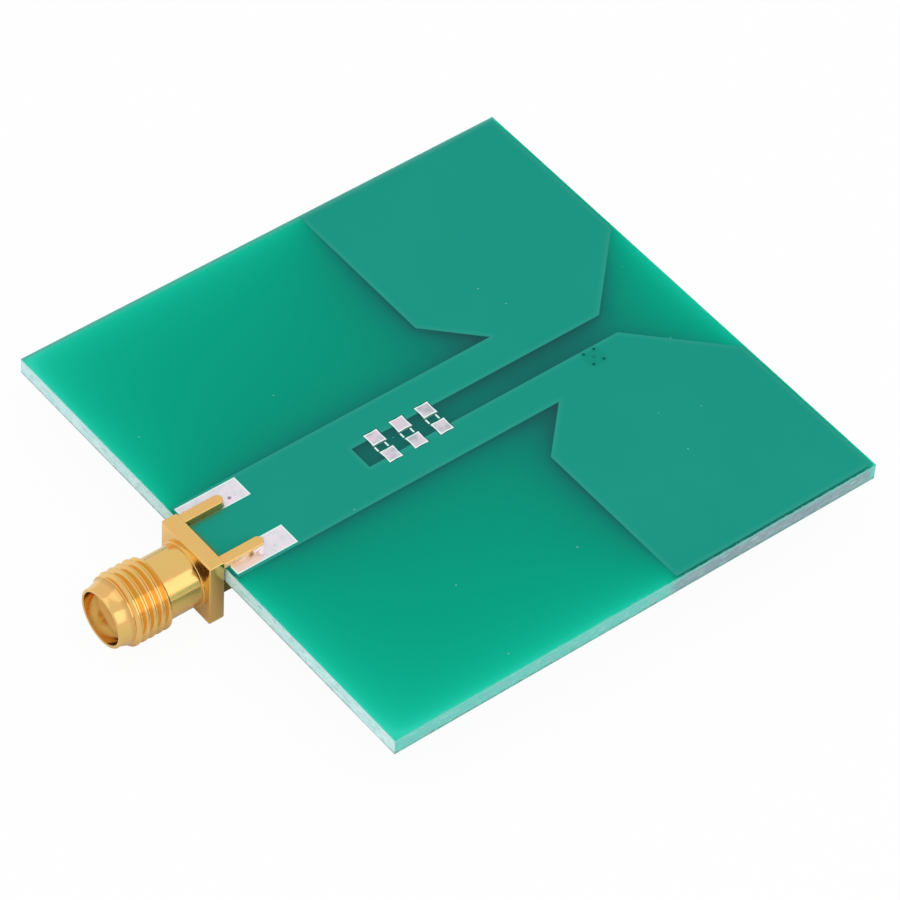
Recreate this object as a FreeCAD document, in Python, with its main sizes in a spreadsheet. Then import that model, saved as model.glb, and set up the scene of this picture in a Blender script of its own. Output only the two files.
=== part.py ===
import FreeCAD, Part
import math
import os

import Sketcher
from FreeCAD import Vector

# Printed wideband dipole on a small circuit board, with a coaxial edge jack soldered to it.
# The origin is the middle of the jack's mouth. +Y runs along the jack's axis into the board,
# +X across the two arms and +Z up from the side with the dipole. All lengths are millimetres.

SIZES = [
    ("board_width", 48.8, "board, across the two arms"),
    ("board_depth", 48.0, "board, from the jack's edge to the far edge"),
    ("core_thickness", 1.5, "glass laminate without its foils"),
    ("foil_thickness", 0.05, "finished copper, one side"),
    ("mask_thickness", 0.03, "solder mask over laminate or copper"),
    ("tin_thickness", 0.03, "tin on a bare pad"),
    ("print_thickness", 0.02, "white printing on the mask"),
    ("foil_setback", 0.3, "copper kept back from the board's edges"),
    ("strip_half_width", 4.35, "middle line to the outer edge of the twin strip"),
    ("slot_half_width", 1.25, "middle line to the slot between the strips"),
    ("slot_foot", 15.35, "board edge to the closed end of the slot"),
    ("flare_depth", 7.13, "45 degree flare of the slot, back from the copper's far edge"),
    ("arm_depth", 19.99, "arm, back from the copper's far edge"),
    ("arm_notch", 4.36, "45 degree notch between an arm and the strip, along the axis"),
    ("line_half_width", 1.5, "half of the feed line on the underside"),
    ("line_jog_start", 9.0, "board edge to where the feed line turns aside"),
    ("crossing_setback", 3.27, "start of the slot's flare to the middle of the feed's crossing"),
    ("crossing_reach", 3.7, "middle line to the end of the crossing"),
    ("ground_pad_centre", 3.07, "middle line to the middle of a ground pad"),
    ("ground_pad_width", 2.18, "ground pad, across"),
    ("ground_pad_length", 5.79, "ground pad, along the jack's axis"),
    ("pad_setback", 0.35, "ground and feed pads kept back from the board edge"),
    ("feed_pad_width", 1.8, "bare part of the feed line under the pin"),
    ("feed_pad_length", 4.6, "bare part of the feed line, along the axis"),
    ("chip_pad_width", 1.35, "chip pad, across the slot"),
    ("chip_pad_length", 1.33, "chip pad, along the slot"),
    ("chip_pad_gap", 0.8, "between the two pads of a chip"),
    ("chip_row_start", 17.65, "board edge to the first pair of chip pads"),
    ("chip_row_pitch", 2.54, "from one pair of chip pads to the next"),
    ("mask_relief", 0.06, "mask kept back from a pad that stands free"),
    ("dash_length", 0.5, "printed dash, across the slot"),
    ("dash_width", 0.15, "printed dash, along the slot"),
    ("dash_spread", 0.5, "printed dash from the middle of its pair"),
    ("dash_shift", 0.14, "printing nearer to the jack than the pads"),
    ("via_radius", 0.18, "plated hole, outside of its copper"),
    ("via_wall", 0.035, "copper on a plated hole's wall"),
    ("via_centre", 2.2, "middle line to the middle of the five holes"),
    ("via_spread_across", 0.65, "middle hole to a corner hole, across"),
    ("via_spread_along", 0.53, "middle hole to a corner hole, along"),
    ("ground_via_across", 2.64, "middle line to the hole in the left ground pad"),
    ("ground_via_along", 4.55, "board edge to the hole in the left ground pad"),
    ("ground_via_radius", 0.22, "hole in the left ground pad, outside of its copper"),
    ("flange_side", 6.35, "square flange"),
    ("flange_thickness", 1.45, "flange, along the axis"),
    ("flange_bevel", 0.1, "broken front edges of the flange"),
    ("collar_radius", 2.86, "thin collar in front of the flange"),
    ("collar_length", 0.3, "collar, along the axis"),
    ("neck_radius", 2.66, "plain neck between collar and thread"),
    ("neck_length", 3.0, "neck, along the axis"),
    ("thread_radius", 3.125, "outside of the coupling thread"),
    ("thread_length", 3.45, "threaded length"),
    ("thread_pitch", 0.7056, "36 turns to the inch"),
    ("thread_depth", 0.36, "depth of the thread's groove"),
    ("thread_floor", 0.09, "width of the groove's floor"),
    ("thread_land", 0.12, "width of the thread's crest"),
    ("thread_chamfer", 0.2, "chamfer at both ends of the thread"),
    ("thread_runout", 0.035, "thread's groove cut past the crest, radial"),
    ("lead_length", 1.3, "plain lead from the mouth to the thread"),
    ("lead_radius", 2.86, "lead, beside the thread"),
    ("mouth_radius", 2.58, "lead, at the mouth"),
    ("mouth_length", 0.45, "straight part of the lead at the mouth"),
    ("mouth_bevel", 0.07, "broken outer edge of the mouth"),
    ("socket_radius", 2.3, "mating bore"),
    ("socket_depth", 1.98, "mating bore, from the mouth to the insulator"),
    ("insulator_radius", 2.05, "bore behind the mating bore, which holds the insulator"),
    ("fit_clearance", 0.01, "insulator in its shell and contact in the insulator, radial"),
    ("contact_radius", 0.635, "centre contact"),
    ("contact_bore", 0.465, "socket in the front of the contact, radius"),
    ("contact_bore_depth", 2.4, "socket in the front of the contact"),
    ("contact_drill_point", 0.27, "pointed end of that socket"),
    ("contact_slit_width", 0.15, "saw cuts across the socket"),
    ("contact_slit_depth", 1.9, "saw cuts, along the axis"),
    ("contact_setback", 0.05, "contact's front end behind the insulator's face"),
    ("contact_bevel", 0.1, "bevel on both ends of the contact"),
    ("tail_length", 3.5, "contact behind the flange"),
    ("seat_gap", 0.15, "flange to the board's edge"),
    ("leg_width", 0.95, "leg, across"),
    ("leg_inset", 0.05, "leg's outer side from the flange's side"),
    ("leg_length", 3.9, "leg, from the flange to its round tip"),
    ("upper_leg_height", 0.82, "leg above the board"),
    ("lower_leg_height", 1.07, "leg below the board"),
    ("leg_clearance", 0.02, "lower leg to its pad"),
    ("solder_width", 0.14, "solder beside a leg or the pin, at the pad"),
    ("solder_height", 0.3, "solder up a leg's side"),
    ("solder_taper", 0.11, "how far the solder leans in at its top"),
    ("bead_radius", 0.3, "bead of solder beside the right upper leg"),
    ("bead_gap", 0.03, "that bead to the leg"),
    ("bead_along", 3.1, "board edge to the bead"),
]

# Heights of the board's layers above the jack's axis, from the upper legs down.
UPPER_SEAT = "(Sizes.flange_side / 2 - Sizes.upper_leg_height)"
FOIL_TOP = f"({UPPER_SEAT} - Sizes.tin_thickness)"
CORE_TOP = f"({FOIL_TOP} - Sizes.foil_thickness)"
CORE_BOTTOM = f"({CORE_TOP} - Sizes.core_thickness)"
FOIL_BOTTOM = f"({CORE_BOTTOM} - Sizes.foil_thickness)"
LOWER_SEAT = f"({FOIL_BOTTOM} - Sizes.tin_thickness)"

# Distances along the axis from the mouth.
THREAD_START = "Sizes.lead_length"
THREAD_END = f"({THREAD_START} + Sizes.thread_length)"
COLLAR_START = f"({THREAD_END} + Sizes.neck_length)"
FLANGE_FRONT = f"({COLLAR_START} + Sizes.collar_length)"
FLANGE_BACK = f"({FLANGE_FRONT} + Sizes.flange_thickness)"
BOARD_EDGE = f"({FLANGE_BACK} + Sizes.seat_gap)"
TAIL_END = f"({FLANGE_BACK} + Sizes.tail_length)"
SOLDER_START = f"({BOARD_EDGE} + Sizes.pad_setback)"
LEG_SHOULDER = f"({FLANGE_BACK} + Sizes.leg_length - Sizes.leg_width / 2)"

# Edges of the copper and of the legs, from the middle line or from the board's edge.
HALF_WIDTH = "Sizes.board_width / 2"
FOIL_SIDE = f"({HALF_WIDTH} - Sizes.foil_setback)"
FOIL_FAR = "(Sizes.board_depth - Sizes.foil_setback)"
ARM_NEAR = f"({FOIL_FAR} - Sizes.arm_depth)"
NOTCH_TOP = f"({ARM_NEAR} + Sizes.arm_notch)"
NOTCH_SIDE = "(Sizes.strip_half_width + Sizes.arm_notch)"
FLARE_START = f"({FOIL_FAR} - Sizes.flare_depth)"
FLARE_SIDE = "(Sizes.slot_half_width + Sizes.flare_depth)"
CROSSING = f"({FLARE_START} - Sizes.crossing_setback)"
LINE_ASIDE = "((Sizes.strip_half_width + Sizes.slot_half_width) / 2)"
LEG_OUTER = "(Sizes.flange_side / 2 - Sizes.leg_inset)"
LEG_CENTRE = f"({LEG_OUTER} - Sizes.leg_width / 2)"

# Where an outline turns by 45 degrees, growing it by 1 moves the corner along its sides by this much.
CORNER_45 = math.tan(math.radians(22.5))
CHIP_ROWS = (1, 2, 3)
SIDES = {"left": -1, "right": 1}

doc = FreeCAD.newDocument("dipole_antenna")
sheet = doc.addObject("Spreadsheet::Sheet", "Sizes")
for row, (alias, value, note) in enumerate(SIZES, start=1):
    sheet.set(f"A{row}", note)
    sheet.set(f"B{row}", str(value))
    sheet.setAlias(f"B{row}", alias)
doc.recompute()

nodes = []


def plus(expression, by):
    return f"({expression} + {by})"


def less(expression, by):
    return f"({expression} - {by})"


def minus(expression):
    return f"(-1 * {expression})"


def new_body(name, along="0", up="0"):
    """Start a sub-part whose own origin is on the middle line, this far along the axis and up."""
    body = doc.addObject("PartDesign::Body", name)
    body.Label = name
    body.setExpression(".Placement.Base.y", along)
    body.setExpression(".Placement.Base.z", up)
    nodes.append(body)
    return body


def sketch_on(body, role, name, lift="0"):
    """Put a sketch on one of the body's own origin planes, lifted along the plane's normal."""
    sketch = body.newObject("Sketcher::SketchObject", f"{body.Name}_{name}")
    plane = [item for item in body.Origin.OriginFeatures if item.Role == role][0]
    sketch.AttachmentSupport = [(plane, "")]
    sketch.MapMode = "FlatFace"
    sketch.setExpression(".AttachmentOffset.Base.z", lift)
    sketch.Visibility = False
    return sketch


def bind(sketch, edge, point, across, along):
    """Hold a point of a sketch at its place, on an axis of the sketch where the place is 0."""
    for kind, axis, expression in (("DistanceX", -2, across), ("DistanceY", -1, along)):
        if expression == "0":
            sketch.addConstraint(Sketcher.Constraint("PointOnObject", edge, point, axis))
        elif expression is not None:
            start = float(sketch.evalExpression(expression))
            held = sketch.addConstraint(Sketcher.Constraint(kind, -1, 1, edge, point, start))
            sketch.setExpression(f"Constraints[{held}]", expression)


def place(sketch, across, along):
    return Vector(float(sketch.evalExpression(across)), float(sketch.evalExpression(along)), 0)


def outline(sketch, corners, round_edge=None):
    """Draw a closed outline, anticlockwise, through corners given as pairs of expressions.

    The edge with the number round_edge is an arc about a point level with its two ends.
    """
    places = [place(sketch, *corner) for corner in corners]
    edges = []
    for number, start in enumerate(places):
        end = places[(number + 1) % len(places)]
        if number == round_edge:
            middle = (start + end) * 0.5
            crown = middle + Vector(0, (start - end).Length / 2, 0)
            edges.append(sketch.addGeometry(Part.Arc(start, crown, end)))
        else:
            edges.append(sketch.addGeometry(Part.LineSegment(start, end)))
    for number, edge in enumerate(edges):
        after = edges[(number + 1) % len(edges)]
        sketch.addConstraint(Sketcher.Constraint("Coincident", edge, 2, after, 1))
        bind(sketch, edge, 1, *corners[number])
        if number == round_edge:
            bind(sketch, edge, 3, None, corners[number][1])


def rectangle(sketch, left, right, near, far):
    outline(sketch, [(left, near), (right, near), (right, far), (left, far)])


def circle(sketch, across, along, radius):
    size = float(sketch.evalExpression(radius))
    edge = sketch.addGeometry(Part.Circle(place(sketch, across, along), Vector(0, 0, 1), size))
    bind(sketch, edge, 3, across, along)
    held = sketch.addConstraint(Sketcher.Constraint("Radius", edge, size))
    sketch.setExpression(f"Constraints[{held}]", radius)


def pad(body, sketch, length, downwards=False):
    feature = body.newObject("PartDesign::Pad", f"{sketch.Name}_pad")
    feature.Profile = sketch
    feature.setExpression("Length", length)
    feature.Reversed = downwards
    doc.recompute()
    return feature


def loft(body, lower, upper):
    feature = body.newObject("PartDesign::AdditiveLoft", f"{lower.Name}_loft")
    feature.Profile = lower
    feature.Sections = [upper]
    feature.Ruled = True
    doc.recompute()
    return feature


def cut(body, sketch, depth=None, upwards=False, thickness=None):
    """Cut a sketch out of a body: to a depth, as a slice of a thickness, or right through."""
    before = body.Shape.Volume
    feature = body.newObject("PartDesign::Pocket", f"{sketch.Name}_cut")
    feature.Profile = sketch
    feature.Reversed = upwards
    if depth is not None:
        feature.setExpression("Length", depth)
    elif thickness is not None:
        feature.SideType = "Symmetric"
        feature.setExpression("Length", thickness)
    else:
        feature.SideType = "Symmetric"
        feature.Type = "ThroughAll"
    doc.recompute()
    check_bite(body, before, feature)
    return feature


def turn(body, sketch, kind="PartDesign::Revolution"):
    """Turn a profile, drawn as radius and distance along the axis, about the jack's axis."""
    feature = body.newObject(kind, f"{sketch.Name}_turn")
    feature.Profile = sketch
    feature.ReferenceAxis = (sketch, ["V_Axis"])
    feature.Angle = 360
    doc.recompute()
    return feature


def check_bite(body, before, feature):
    if body.Shape.Volume > before - 1e-6:
        raise RuntimeError(f"{feature.Name} cuts nothing")


def repeat_rows(body, feature):
    """Repeat a feature of the first pair of chip pads at the other pairs."""
    pattern = body.newObject("PartDesign::LinearPattern", f"{feature.Name}_rows")
    pattern.Originals = [feature]
    pattern.Direction = (feature.Profile[0], ["V_Axis"])
    pattern.Mode = "Spacing"
    pattern.setExpression("Offset", "Sizes.chip_row_pitch")
    pattern.Occurrences = len(CHIP_ROWS)
    body.Tip = pattern
    doc.recompute()


# Outlines that more than one piece follows, each grown by a margin


def board_outline(sketch):
    rectangle(sketch, minus(HALF_WIDTH), HALF_WIDTH, "0", "Sizes.board_depth")


def dipole_outline(sketch, by="0"):
    """Both arms, the twin strips and the foot that joins them."""
    corner = f"({by} * {CORNER_45})"
    notch = f"(2 * {by} + {corner})"
    right = [
        (plus("Sizes.strip_half_width", by), less("Sizes.foil_setback", by)),
        (plus("Sizes.strip_half_width", by), less(NOTCH_TOP, notch)),
        (less(NOTCH_SIDE, corner), less(ARM_NEAR, by)),
        (plus(FOIL_SIDE, by), less(ARM_NEAR, by)),
        (plus(FOIL_SIDE, by), plus(FOIL_FAR, by)),
        (less(FLARE_SIDE, corner), plus(FOIL_FAR, by)),
        (less("Sizes.slot_half_width", by), plus(FLARE_START, corner)),
        (less("Sizes.slot_half_width", by), plus("Sizes.slot_foot", by)),
    ]
    left = [(minus(across), along) for across, along in reversed(right)]
    outline(sketch, right + left)


def feed_outline(sketch, by="0"):
    """The feed line: in from the jack, aside under the left strip, and across the slot."""
    half = plus("Sizes.line_half_width", by)
    bend = f"({half} * {CORNER_45})"
    turned = plus("Sizes.line_jog_start", LINE_ASIDE)
    inner = less(half, LINE_ASIDE)
    outer = minus(plus(half, LINE_ASIDE))
    near = less(CROSSING, half)
    far = plus(CROSSING, half)
    reach = plus("Sizes.crossing_reach", by)
    corners = [
        (half, less("Sizes.pad_setback", by)),
        (half, plus("Sizes.line_jog_start", bend)),
        (inner, plus(turned, bend)),
        (inner, near),
        (reach, near),
        (reach, far),
        (plus(outer, half), far),
        (outer, less(far, half)),
        (outer, less(turned, bend)),
        (minus(half), less("Sizes.line_jog_start", bend)),
        (minus(half), less("Sizes.pad_setback", by)),
    ]
    outline(sketch, corners)


def ground_pad_outline(sketch, side, by="0"):
    middle = f"({side} * Sizes.ground_pad_centre)"
    half = plus("Sizes.ground_pad_width / 2", by)
    far = "(Sizes.pad_setback + Sizes.ground_pad_length)"
    rectangle(sketch, less(middle, half), plus(middle, half), less("Sizes.pad_setback", by), plus(far, by))


def feed_pad_outline(sketch):
    half = "Sizes.feed_pad_width / 2"
    rectangle(sketch, minus(half), half, "Sizes.pad_setback", "(Sizes.pad_setback + Sizes.feed_pad_length)")


def chip_pad_outline(sketch, side, row=1, by="0"):
    inner = less("Sizes.chip_pad_gap / 2", by)
    outer = f"(Sizes.chip_pad_gap / 2 + Sizes.chip_pad_width + {by})"
    middle = f"(Sizes.chip_row_start + {row - 1} * Sizes.chip_row_pitch)"
    half = plus("Sizes.chip_pad_length / 2", by)
    left, right = (inner, outer) if side > 0 else (minus(outer), minus(inner))
    rectangle(sketch, left, right, less(middle, half), plus(middle, half))


def leg_outline(sketch, side, start, by="0"):
    """A leg from above, from a place along the axis to its round tip."""
    middle = f"({side} * {LEG_CENTRE})"
    half = plus("Sizes.leg_width / 2", by)
    left = less(middle, half)
    right = plus(middle, half)
    corners = [(left, start), (right, start), (right, LEG_SHOULDER), (left, LEG_SHOULDER)]
    outline(sketch, corners, round_edge=2)


def crossover_holes(sketch, radius):
    """The five plated holes that join the feed line to the right strip: one in the middle of four."""
    circle(sketch, "Sizes.via_centre", CROSSING, radius)
    for across in ("-", "+"):
        for along in ("-", "+"):
            circle(
                sketch,
                f"(Sizes.via_centre {across} Sizes.via_spread_across)",
                f"({CROSSING} {along} Sizes.via_spread_along)",
                radius,
            )


def ground_hole(sketch, radius):
    circle(sketch, "(-1 * Sizes.ground_via_across)", "Sizes.ground_via_along", radius)


# Board


def build_laminate():
    """The glass laminate, drilled for the plated holes."""
    body = new_body("laminate", BOARD_EDGE, CORE_BOTTOM)
    board = sketch_on(body, "XY_Plane", "outline")
    board_outline(board)
    pad(body, board, "Sizes.core_thickness")
    holes = sketch_on(body, "XY_Plane", "holes")
    crossover_holes(holes, "Sizes.via_radius")
    ground_hole(holes, "Sizes.ground_via_radius")
    cut(body, holes)


def build_dipole_foil():
    """Upper copper: both arms, the twin strips, and the six tabs under the chip pads."""
    body = new_body("dipole_foil", BOARD_EDGE, CORE_TOP)
    copper = sketch_on(body, "XY_Plane", "outline")
    dipole_outline(copper)
    pad(body, copper, "Sizes.foil_thickness")
    tabs = sketch_on(body, "XY_Plane", "tabs")
    for side in SIDES.values():
        chip_pad_outline(tabs, side)
    repeat_rows(body, pad(body, tabs, "Sizes.foil_thickness"))
    holes = sketch_on(body, "XY_Plane", "holes")
    crossover_holes(holes, "Sizes.via_radius")
    ground_hole(holes, "Sizes.ground_via_radius")
    cut(body, holes)


def build_feed_foil():
    """Lower copper: the feed line from the jack's pin to the plated holes."""
    body = new_body("feed_foil", BOARD_EDGE, CORE_BOTTOM)
    copper = sketch_on(body, "XY_Plane", "outline")
    feed_outline(copper)
    pad(body, copper, "Sizes.foil_thickness", downwards=True)
    holes = sketch_on(body, "XY_Plane", "holes")
    crossover_holes(holes, "Sizes.via_radius")
    cut(body, holes)


def build_lower_ground_foil(name, side):
    body = new_body(f"lower_ground_foil_{name}", BOARD_EDGE, CORE_BOTTOM)
    copper = sketch_on(body, "XY_Plane", "outline")
    ground_pad_outline(copper, side)
    pad(body, copper, "Sizes.foil_thickness", downwards=True)
    if side < 0:
        hole = sketch_on(body, "XY_Plane", "hole")
        ground_hole(hole, "Sizes.ground_via_radius")
        cut(body, hole)


def build_crossover_vias():
    """Copper barrels from foil to foil, closed by the solder mask at both ends."""
    body = new_body("crossover_vias", BOARD_EDGE, FOIL_BOTTOM)
    barrels = sketch_on(body, "XY_Plane", "barrels")
    crossover_holes(barrels, "Sizes.via_radius")
    crossover_holes(barrels, less("Sizes.via_radius", "Sizes.via_wall"))
    pad(body, barrels, less(FOIL_TOP, FOIL_BOTTOM))


def build_ground_via():
    """The open plated hole that joins the left ground pads."""
    body = new_body("ground_via", BOARD_EDGE, LOWER_SEAT)
    barrel = sketch_on(body, "XY_Plane", "barrel")
    ground_hole(barrel, "Sizes.ground_via_radius")
    ground_hole(barrel, less("Sizes.ground_via_radius", "Sizes.via_wall"))
    pad(body, barrel, less(UPPER_SEAT, LOWER_SEAT))


def build_upper_mask():
    """Solder mask that rises over the dipole's copper, open at the ground and chip pads."""
    body = new_body("upper_mask", BOARD_EDGE, CORE_TOP)
    board = sketch_on(body, "XY_Plane", "outline")
    board_outline(board)
    pad(body, board, "Sizes.mask_thickness")
    rise = sketch_on(body, "XY_Plane", "rise")
    dipole_outline(rise, "Sizes.mask_thickness")
    pad(body, rise, "(Sizes.foil_thickness + Sizes.mask_thickness)")
    copper = sketch_on(body, "XY_Plane", "copper")
    dipole_outline(copper)
    cut(body, copper, "Sizes.foil_thickness", upwards=True)
    openings = sketch_on(body, "XY_Plane", "ground_openings")
    for side in SIDES.values():
        ground_pad_outline(openings, side)
    cut(body, openings)
    chips = sketch_on(body, "XY_Plane", "chip_openings")
    for side in SIDES.values():
        chip_pad_outline(chips, side, by="Sizes.mask_relief")
    repeat_rows(body, cut(body, chips))


def build_lower_mask():
    """Solder mask that rises over the feed line, open at the feed pad and the ground pads."""
    body = new_body("lower_mask", BOARD_EDGE, CORE_BOTTOM)
    board = sketch_on(body, "XY_Plane", "outline")
    board_outline(board)
    pad(body, board, "Sizes.mask_thickness", downwards=True)
    rise = sketch_on(body, "XY_Plane", "rise")
    feed_outline(rise, "Sizes.mask_thickness")
    pad(body, rise, "(Sizes.foil_thickness + Sizes.mask_thickness)", downwards=True)
    copper = sketch_on(body, "XY_Plane", "copper")
    feed_outline(copper)
    cut(body, copper, "Sizes.foil_thickness")
    openings = sketch_on(body, "XY_Plane", "openings")
    feed_pad_outline(openings)
    for side in SIDES.values():
        ground_pad_outline(openings, side, "Sizes.mask_relief")
    cut(body, openings)


def build_ground_tin(name, side, level, up, downwards):
    """Tin on a ground pad, with the left pads' plated hole left open."""
    body = new_body(f"{level}_ground_pad_{name}", BOARD_EDGE, up)
    tin = sketch_on(body, "XY_Plane", "outline")
    ground_pad_outline(tin, side)
    pad(body, tin, "Sizes.tin_thickness", downwards)
    if side < 0:
        hole = sketch_on(body, "XY_Plane", "hole")
        ground_hole(hole, "Sizes.ground_via_radius")
        cut(body, hole)


def build_feed_tin():
    body = new_body("feed_pad", BOARD_EDGE, FOIL_BOTTOM)
    tin = sketch_on(body, "XY_Plane", "outline")
    feed_pad_outline(tin)
    pad(body, tin, "Sizes.tin_thickness", downwards=True)


def build_chip_tin(name, side, row):
    body = new_body(f"chip_pad_{row}_{name}", BOARD_EDGE, FOIL_TOP)
    tin = sketch_on(body, "XY_Plane", "outline")
    chip_pad_outline(tin, side, row)
    pad(body, tin, "Sizes.tin_thickness")


def build_print():
    """Two printed dashes in the gap of each pair of chip pads."""
    body = new_body("chip_print", BOARD_EDGE, plus(CORE_TOP, "Sizes.mask_thickness"))
    dashes = sketch_on(body, "XY_Plane", "dashes")
    half = "Sizes.dash_length / 2"
    for sign in ("-", "+"):
        middle = f"(Sizes.chip_row_start - Sizes.dash_shift {sign} Sizes.dash_spread)"
        near = less(middle, "Sizes.dash_width / 2")
        far = plus(middle, "Sizes.dash_width / 2")
        rectangle(dashes, minus(half), half, near, far)
    repeat_rows(body, pad(body, dashes, "Sizes.print_thickness"))


# Jack


def build_shell():
    """Gold-plated shell, turned and milled from one bar: barrel, thread, flange and four legs."""
    body = new_body("jack_shell")
    flange = sketch_on(body, "XZ_Plane", "flange", minus(FLANGE_FRONT))
    half = "Sizes.flange_side / 2"
    rectangle(flange, minus(half), half, minus(half), half)
    block = pad(body, flange, "Sizes.flange_thickness", downwards=True)

    bevel = body.newObject("PartDesign::Chamfer", "jack_shell_bevel")
    front = float(block.evalExpression(FLANGE_FRONT))
    rim = [
        f"Edge{number}"
        for number, edge in enumerate(block.Shape.Edges, start=1)
        if all(abs(vertex.Y - front) < 1e-6 for vertex in edge.Vertexes)
    ]
    bevel.Base = (block, rim)
    bevel.setExpression("Size", "Sizes.flange_bevel")
    doc.recompute()

    barrel = sketch_on(body, "XY_Plane", "barrel")
    inner = "Sizes.insulator_radius"
    corners = [
        (inner, "0"),
        (less("Sizes.mouth_radius", "Sizes.mouth_bevel"), "0"),
        ("Sizes.mouth_radius", "Sizes.mouth_bevel"),
        ("Sizes.mouth_radius", "Sizes.mouth_length"),
        ("Sizes.lead_radius", THREAD_START),
        (less("Sizes.thread_radius", "Sizes.thread_chamfer"), THREAD_START),
        ("Sizes.thread_radius", plus(THREAD_START, "Sizes.thread_chamfer")),
        ("Sizes.thread_radius", less(THREAD_END, "Sizes.thread_chamfer")),
        (less("Sizes.thread_radius", "Sizes.thread_chamfer"), THREAD_END),
        ("Sizes.neck_radius", THREAD_END),
        ("Sizes.neck_radius", COLLAR_START),
        ("Sizes.collar_radius", COLLAR_START),
        ("Sizes.collar_radius", FLANGE_FRONT),
        (inner, FLANGE_FRONT),
    ]
    outline(barrel, corners)
    turn(body, barrel)

    upper_legs = sketch_on(body, "XY_Plane", "upper_legs", UPPER_SEAT)
    lower_legs = sketch_on(body, "XY_Plane", "lower_legs", less(LOWER_SEAT, "Sizes.leg_clearance"))
    for legs in (upper_legs, lower_legs):
        for side in SIDES.values():
            leg_outline(legs, side, FLANGE_BACK)
    pad(body, upper_legs, "Sizes.upper_leg_height")
    pad(body, lower_legs, "Sizes.lower_leg_height", downwards=True)

    before = body.Shape.Volume
    bores = sketch_on(body, "XY_Plane", "bores")
    corners = [
        ("0", "0"),
        ("Sizes.socket_radius", "0"),
        ("Sizes.socket_radius", "Sizes.socket_depth"),
        (inner, "Sizes.socket_depth"),
        (inner, FLANGE_BACK),
        ("0", FLANGE_BACK),
    ]
    outline(bores, corners)
    check_bite(body, before, turn(body, bores, "PartDesign::Groove"))
    build_thread(body)


def build_thread(body):
    """Cut the coupling thread as one groove that runs in at the lead and out over the neck."""
    before = body.Shape.Volume
    groove = sketch_on(body, "XY_Plane", "thread_groove")
    start = less(THREAD_START, "Sizes.thread_pitch")
    outside = plus("Sizes.thread_radius", "Sizes.thread_runout")
    root = less("Sizes.thread_radius", "Sizes.thread_depth")
    floor = "Sizes.thread_floor / 2"
    flank = "(Sizes.thread_pitch - Sizes.thread_land - Sizes.thread_floor) / 2"
    mouth = f"({floor} + {flank} * (Sizes.thread_depth + Sizes.thread_runout) / Sizes.thread_depth)"
    corners = [
        (root, less(start, floor)),
        (outside, less(start, mouth)),
        (outside, plus(start, mouth)),
        (root, plus(start, floor)),
    ]
    outline(groove, corners)
    helix = body.newObject("PartDesign::SubtractiveHelix", "jack_shell_thread")
    helix.Profile = groove
    helix.ReferenceAxis = (groove, ["V_Axis"])
    helix.Mode = "pitch-height-angle"
    helix.setExpression("Pitch", "Sizes.thread_pitch")
    helix.setExpression("Height", "(Sizes.thread_length + 2 * Sizes.thread_pitch)")
    doc.recompute()
    check_bite(body, before, helix)


def build_insulator():
    """White insulator that fills the shell behind the mating bore."""
    body = new_body("jack_insulator")
    profile = sketch_on(body, "XY_Plane", "profile")
    inner = plus("Sizes.contact_radius", "Sizes.fit_clearance")
    outer = less("Sizes.insulator_radius", "Sizes.fit_clearance")
    rectangle(profile, inner, outer, "Sizes.socket_depth", FLANGE_BACK)
    turn(body, profile)


def build_contact():
    """Centre contact: a slit socket at the front and a straight pin on the feed pad."""
    body = new_body("jack_contact")
    profile = sketch_on(body, "XY_Plane", "profile")
    front = "(Sizes.socket_depth + Sizes.contact_setback)"
    bore_end = f"({front} + Sizes.contact_bore_depth)"
    corners = [
        ("Sizes.contact_bore", front),
        (less("Sizes.contact_radius", "Sizes.contact_bevel"), front),
        ("Sizes.contact_radius", plus(front, "Sizes.contact_bevel")),
        ("Sizes.contact_radius", less(TAIL_END, "Sizes.contact_bevel")),
        (less("Sizes.contact_radius", "Sizes.contact_bevel"), TAIL_END),
        ("0", TAIL_END),
        ("0", plus(bore_end, "Sizes.contact_drill_point")),
        ("Sizes.contact_bore", bore_end),
    ]
    outline(profile, corners)
    turn(body, profile)
    reach = "(2 * Sizes.contact_radius)"
    for role in ("XY_Plane", "YZ_Plane"):
        slit = sketch_on(body, role, f"slit_{role[:2]}")
        near, far = (less(front, "Sizes.contact_bevel"), plus(front, "Sizes.contact_slit_depth"))
        if role == "XY_Plane":
            rectangle(slit, minus(reach), reach, near, far)
        else:
            rectangle(slit, near, far, minus(reach), reach)
        cut(body, slit, thickness="Sizes.contact_slit_width")


# Solder


def build_leg_solder(name, side, level, up, downwards):
    """Solder that leans against a leg's two sides and round its tip."""
    body = new_body(f"solder_{level}_{name}", up=up)
    foot = sketch_on(body, "XY_Plane", "foot")
    leg_outline(foot, side, SOLDER_START, "Sizes.solder_width")
    height = minus("Sizes.solder_height") if downwards else "Sizes.solder_height"
    crest = sketch_on(body, "XY_Plane", "crest", height)
    leg_outline(crest, side, SOLDER_START, less("Sizes.solder_width", "Sizes.solder_taper"))
    loft(body, foot, crest)
    if side > 0 and not downwards:
        bead = body.newObject("PartDesign::AdditiveSphere", f"{body.Name}_bead")
        bead.AttachmentSupport = foot.AttachmentSupport
        bead.MapMode = "FlatFace"
        across = f"({LEG_OUTER} + Sizes.bead_gap + Sizes.bead_radius)"
        bead.setExpression("Radius", "Sizes.bead_radius")
        bead.setExpression(".AttachmentOffset.Base.x", across)
        bead.setExpression(".AttachmentOffset.Base.y", plus(BOARD_EDGE, "Sizes.bead_along"))
        bead.Angle1 = 0
        doc.recompute()
    leg = sketch_on(body, "XY_Plane", "leg")
    leg_outline(leg, side, FLANGE_BACK)
    cut(body, leg)


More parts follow.
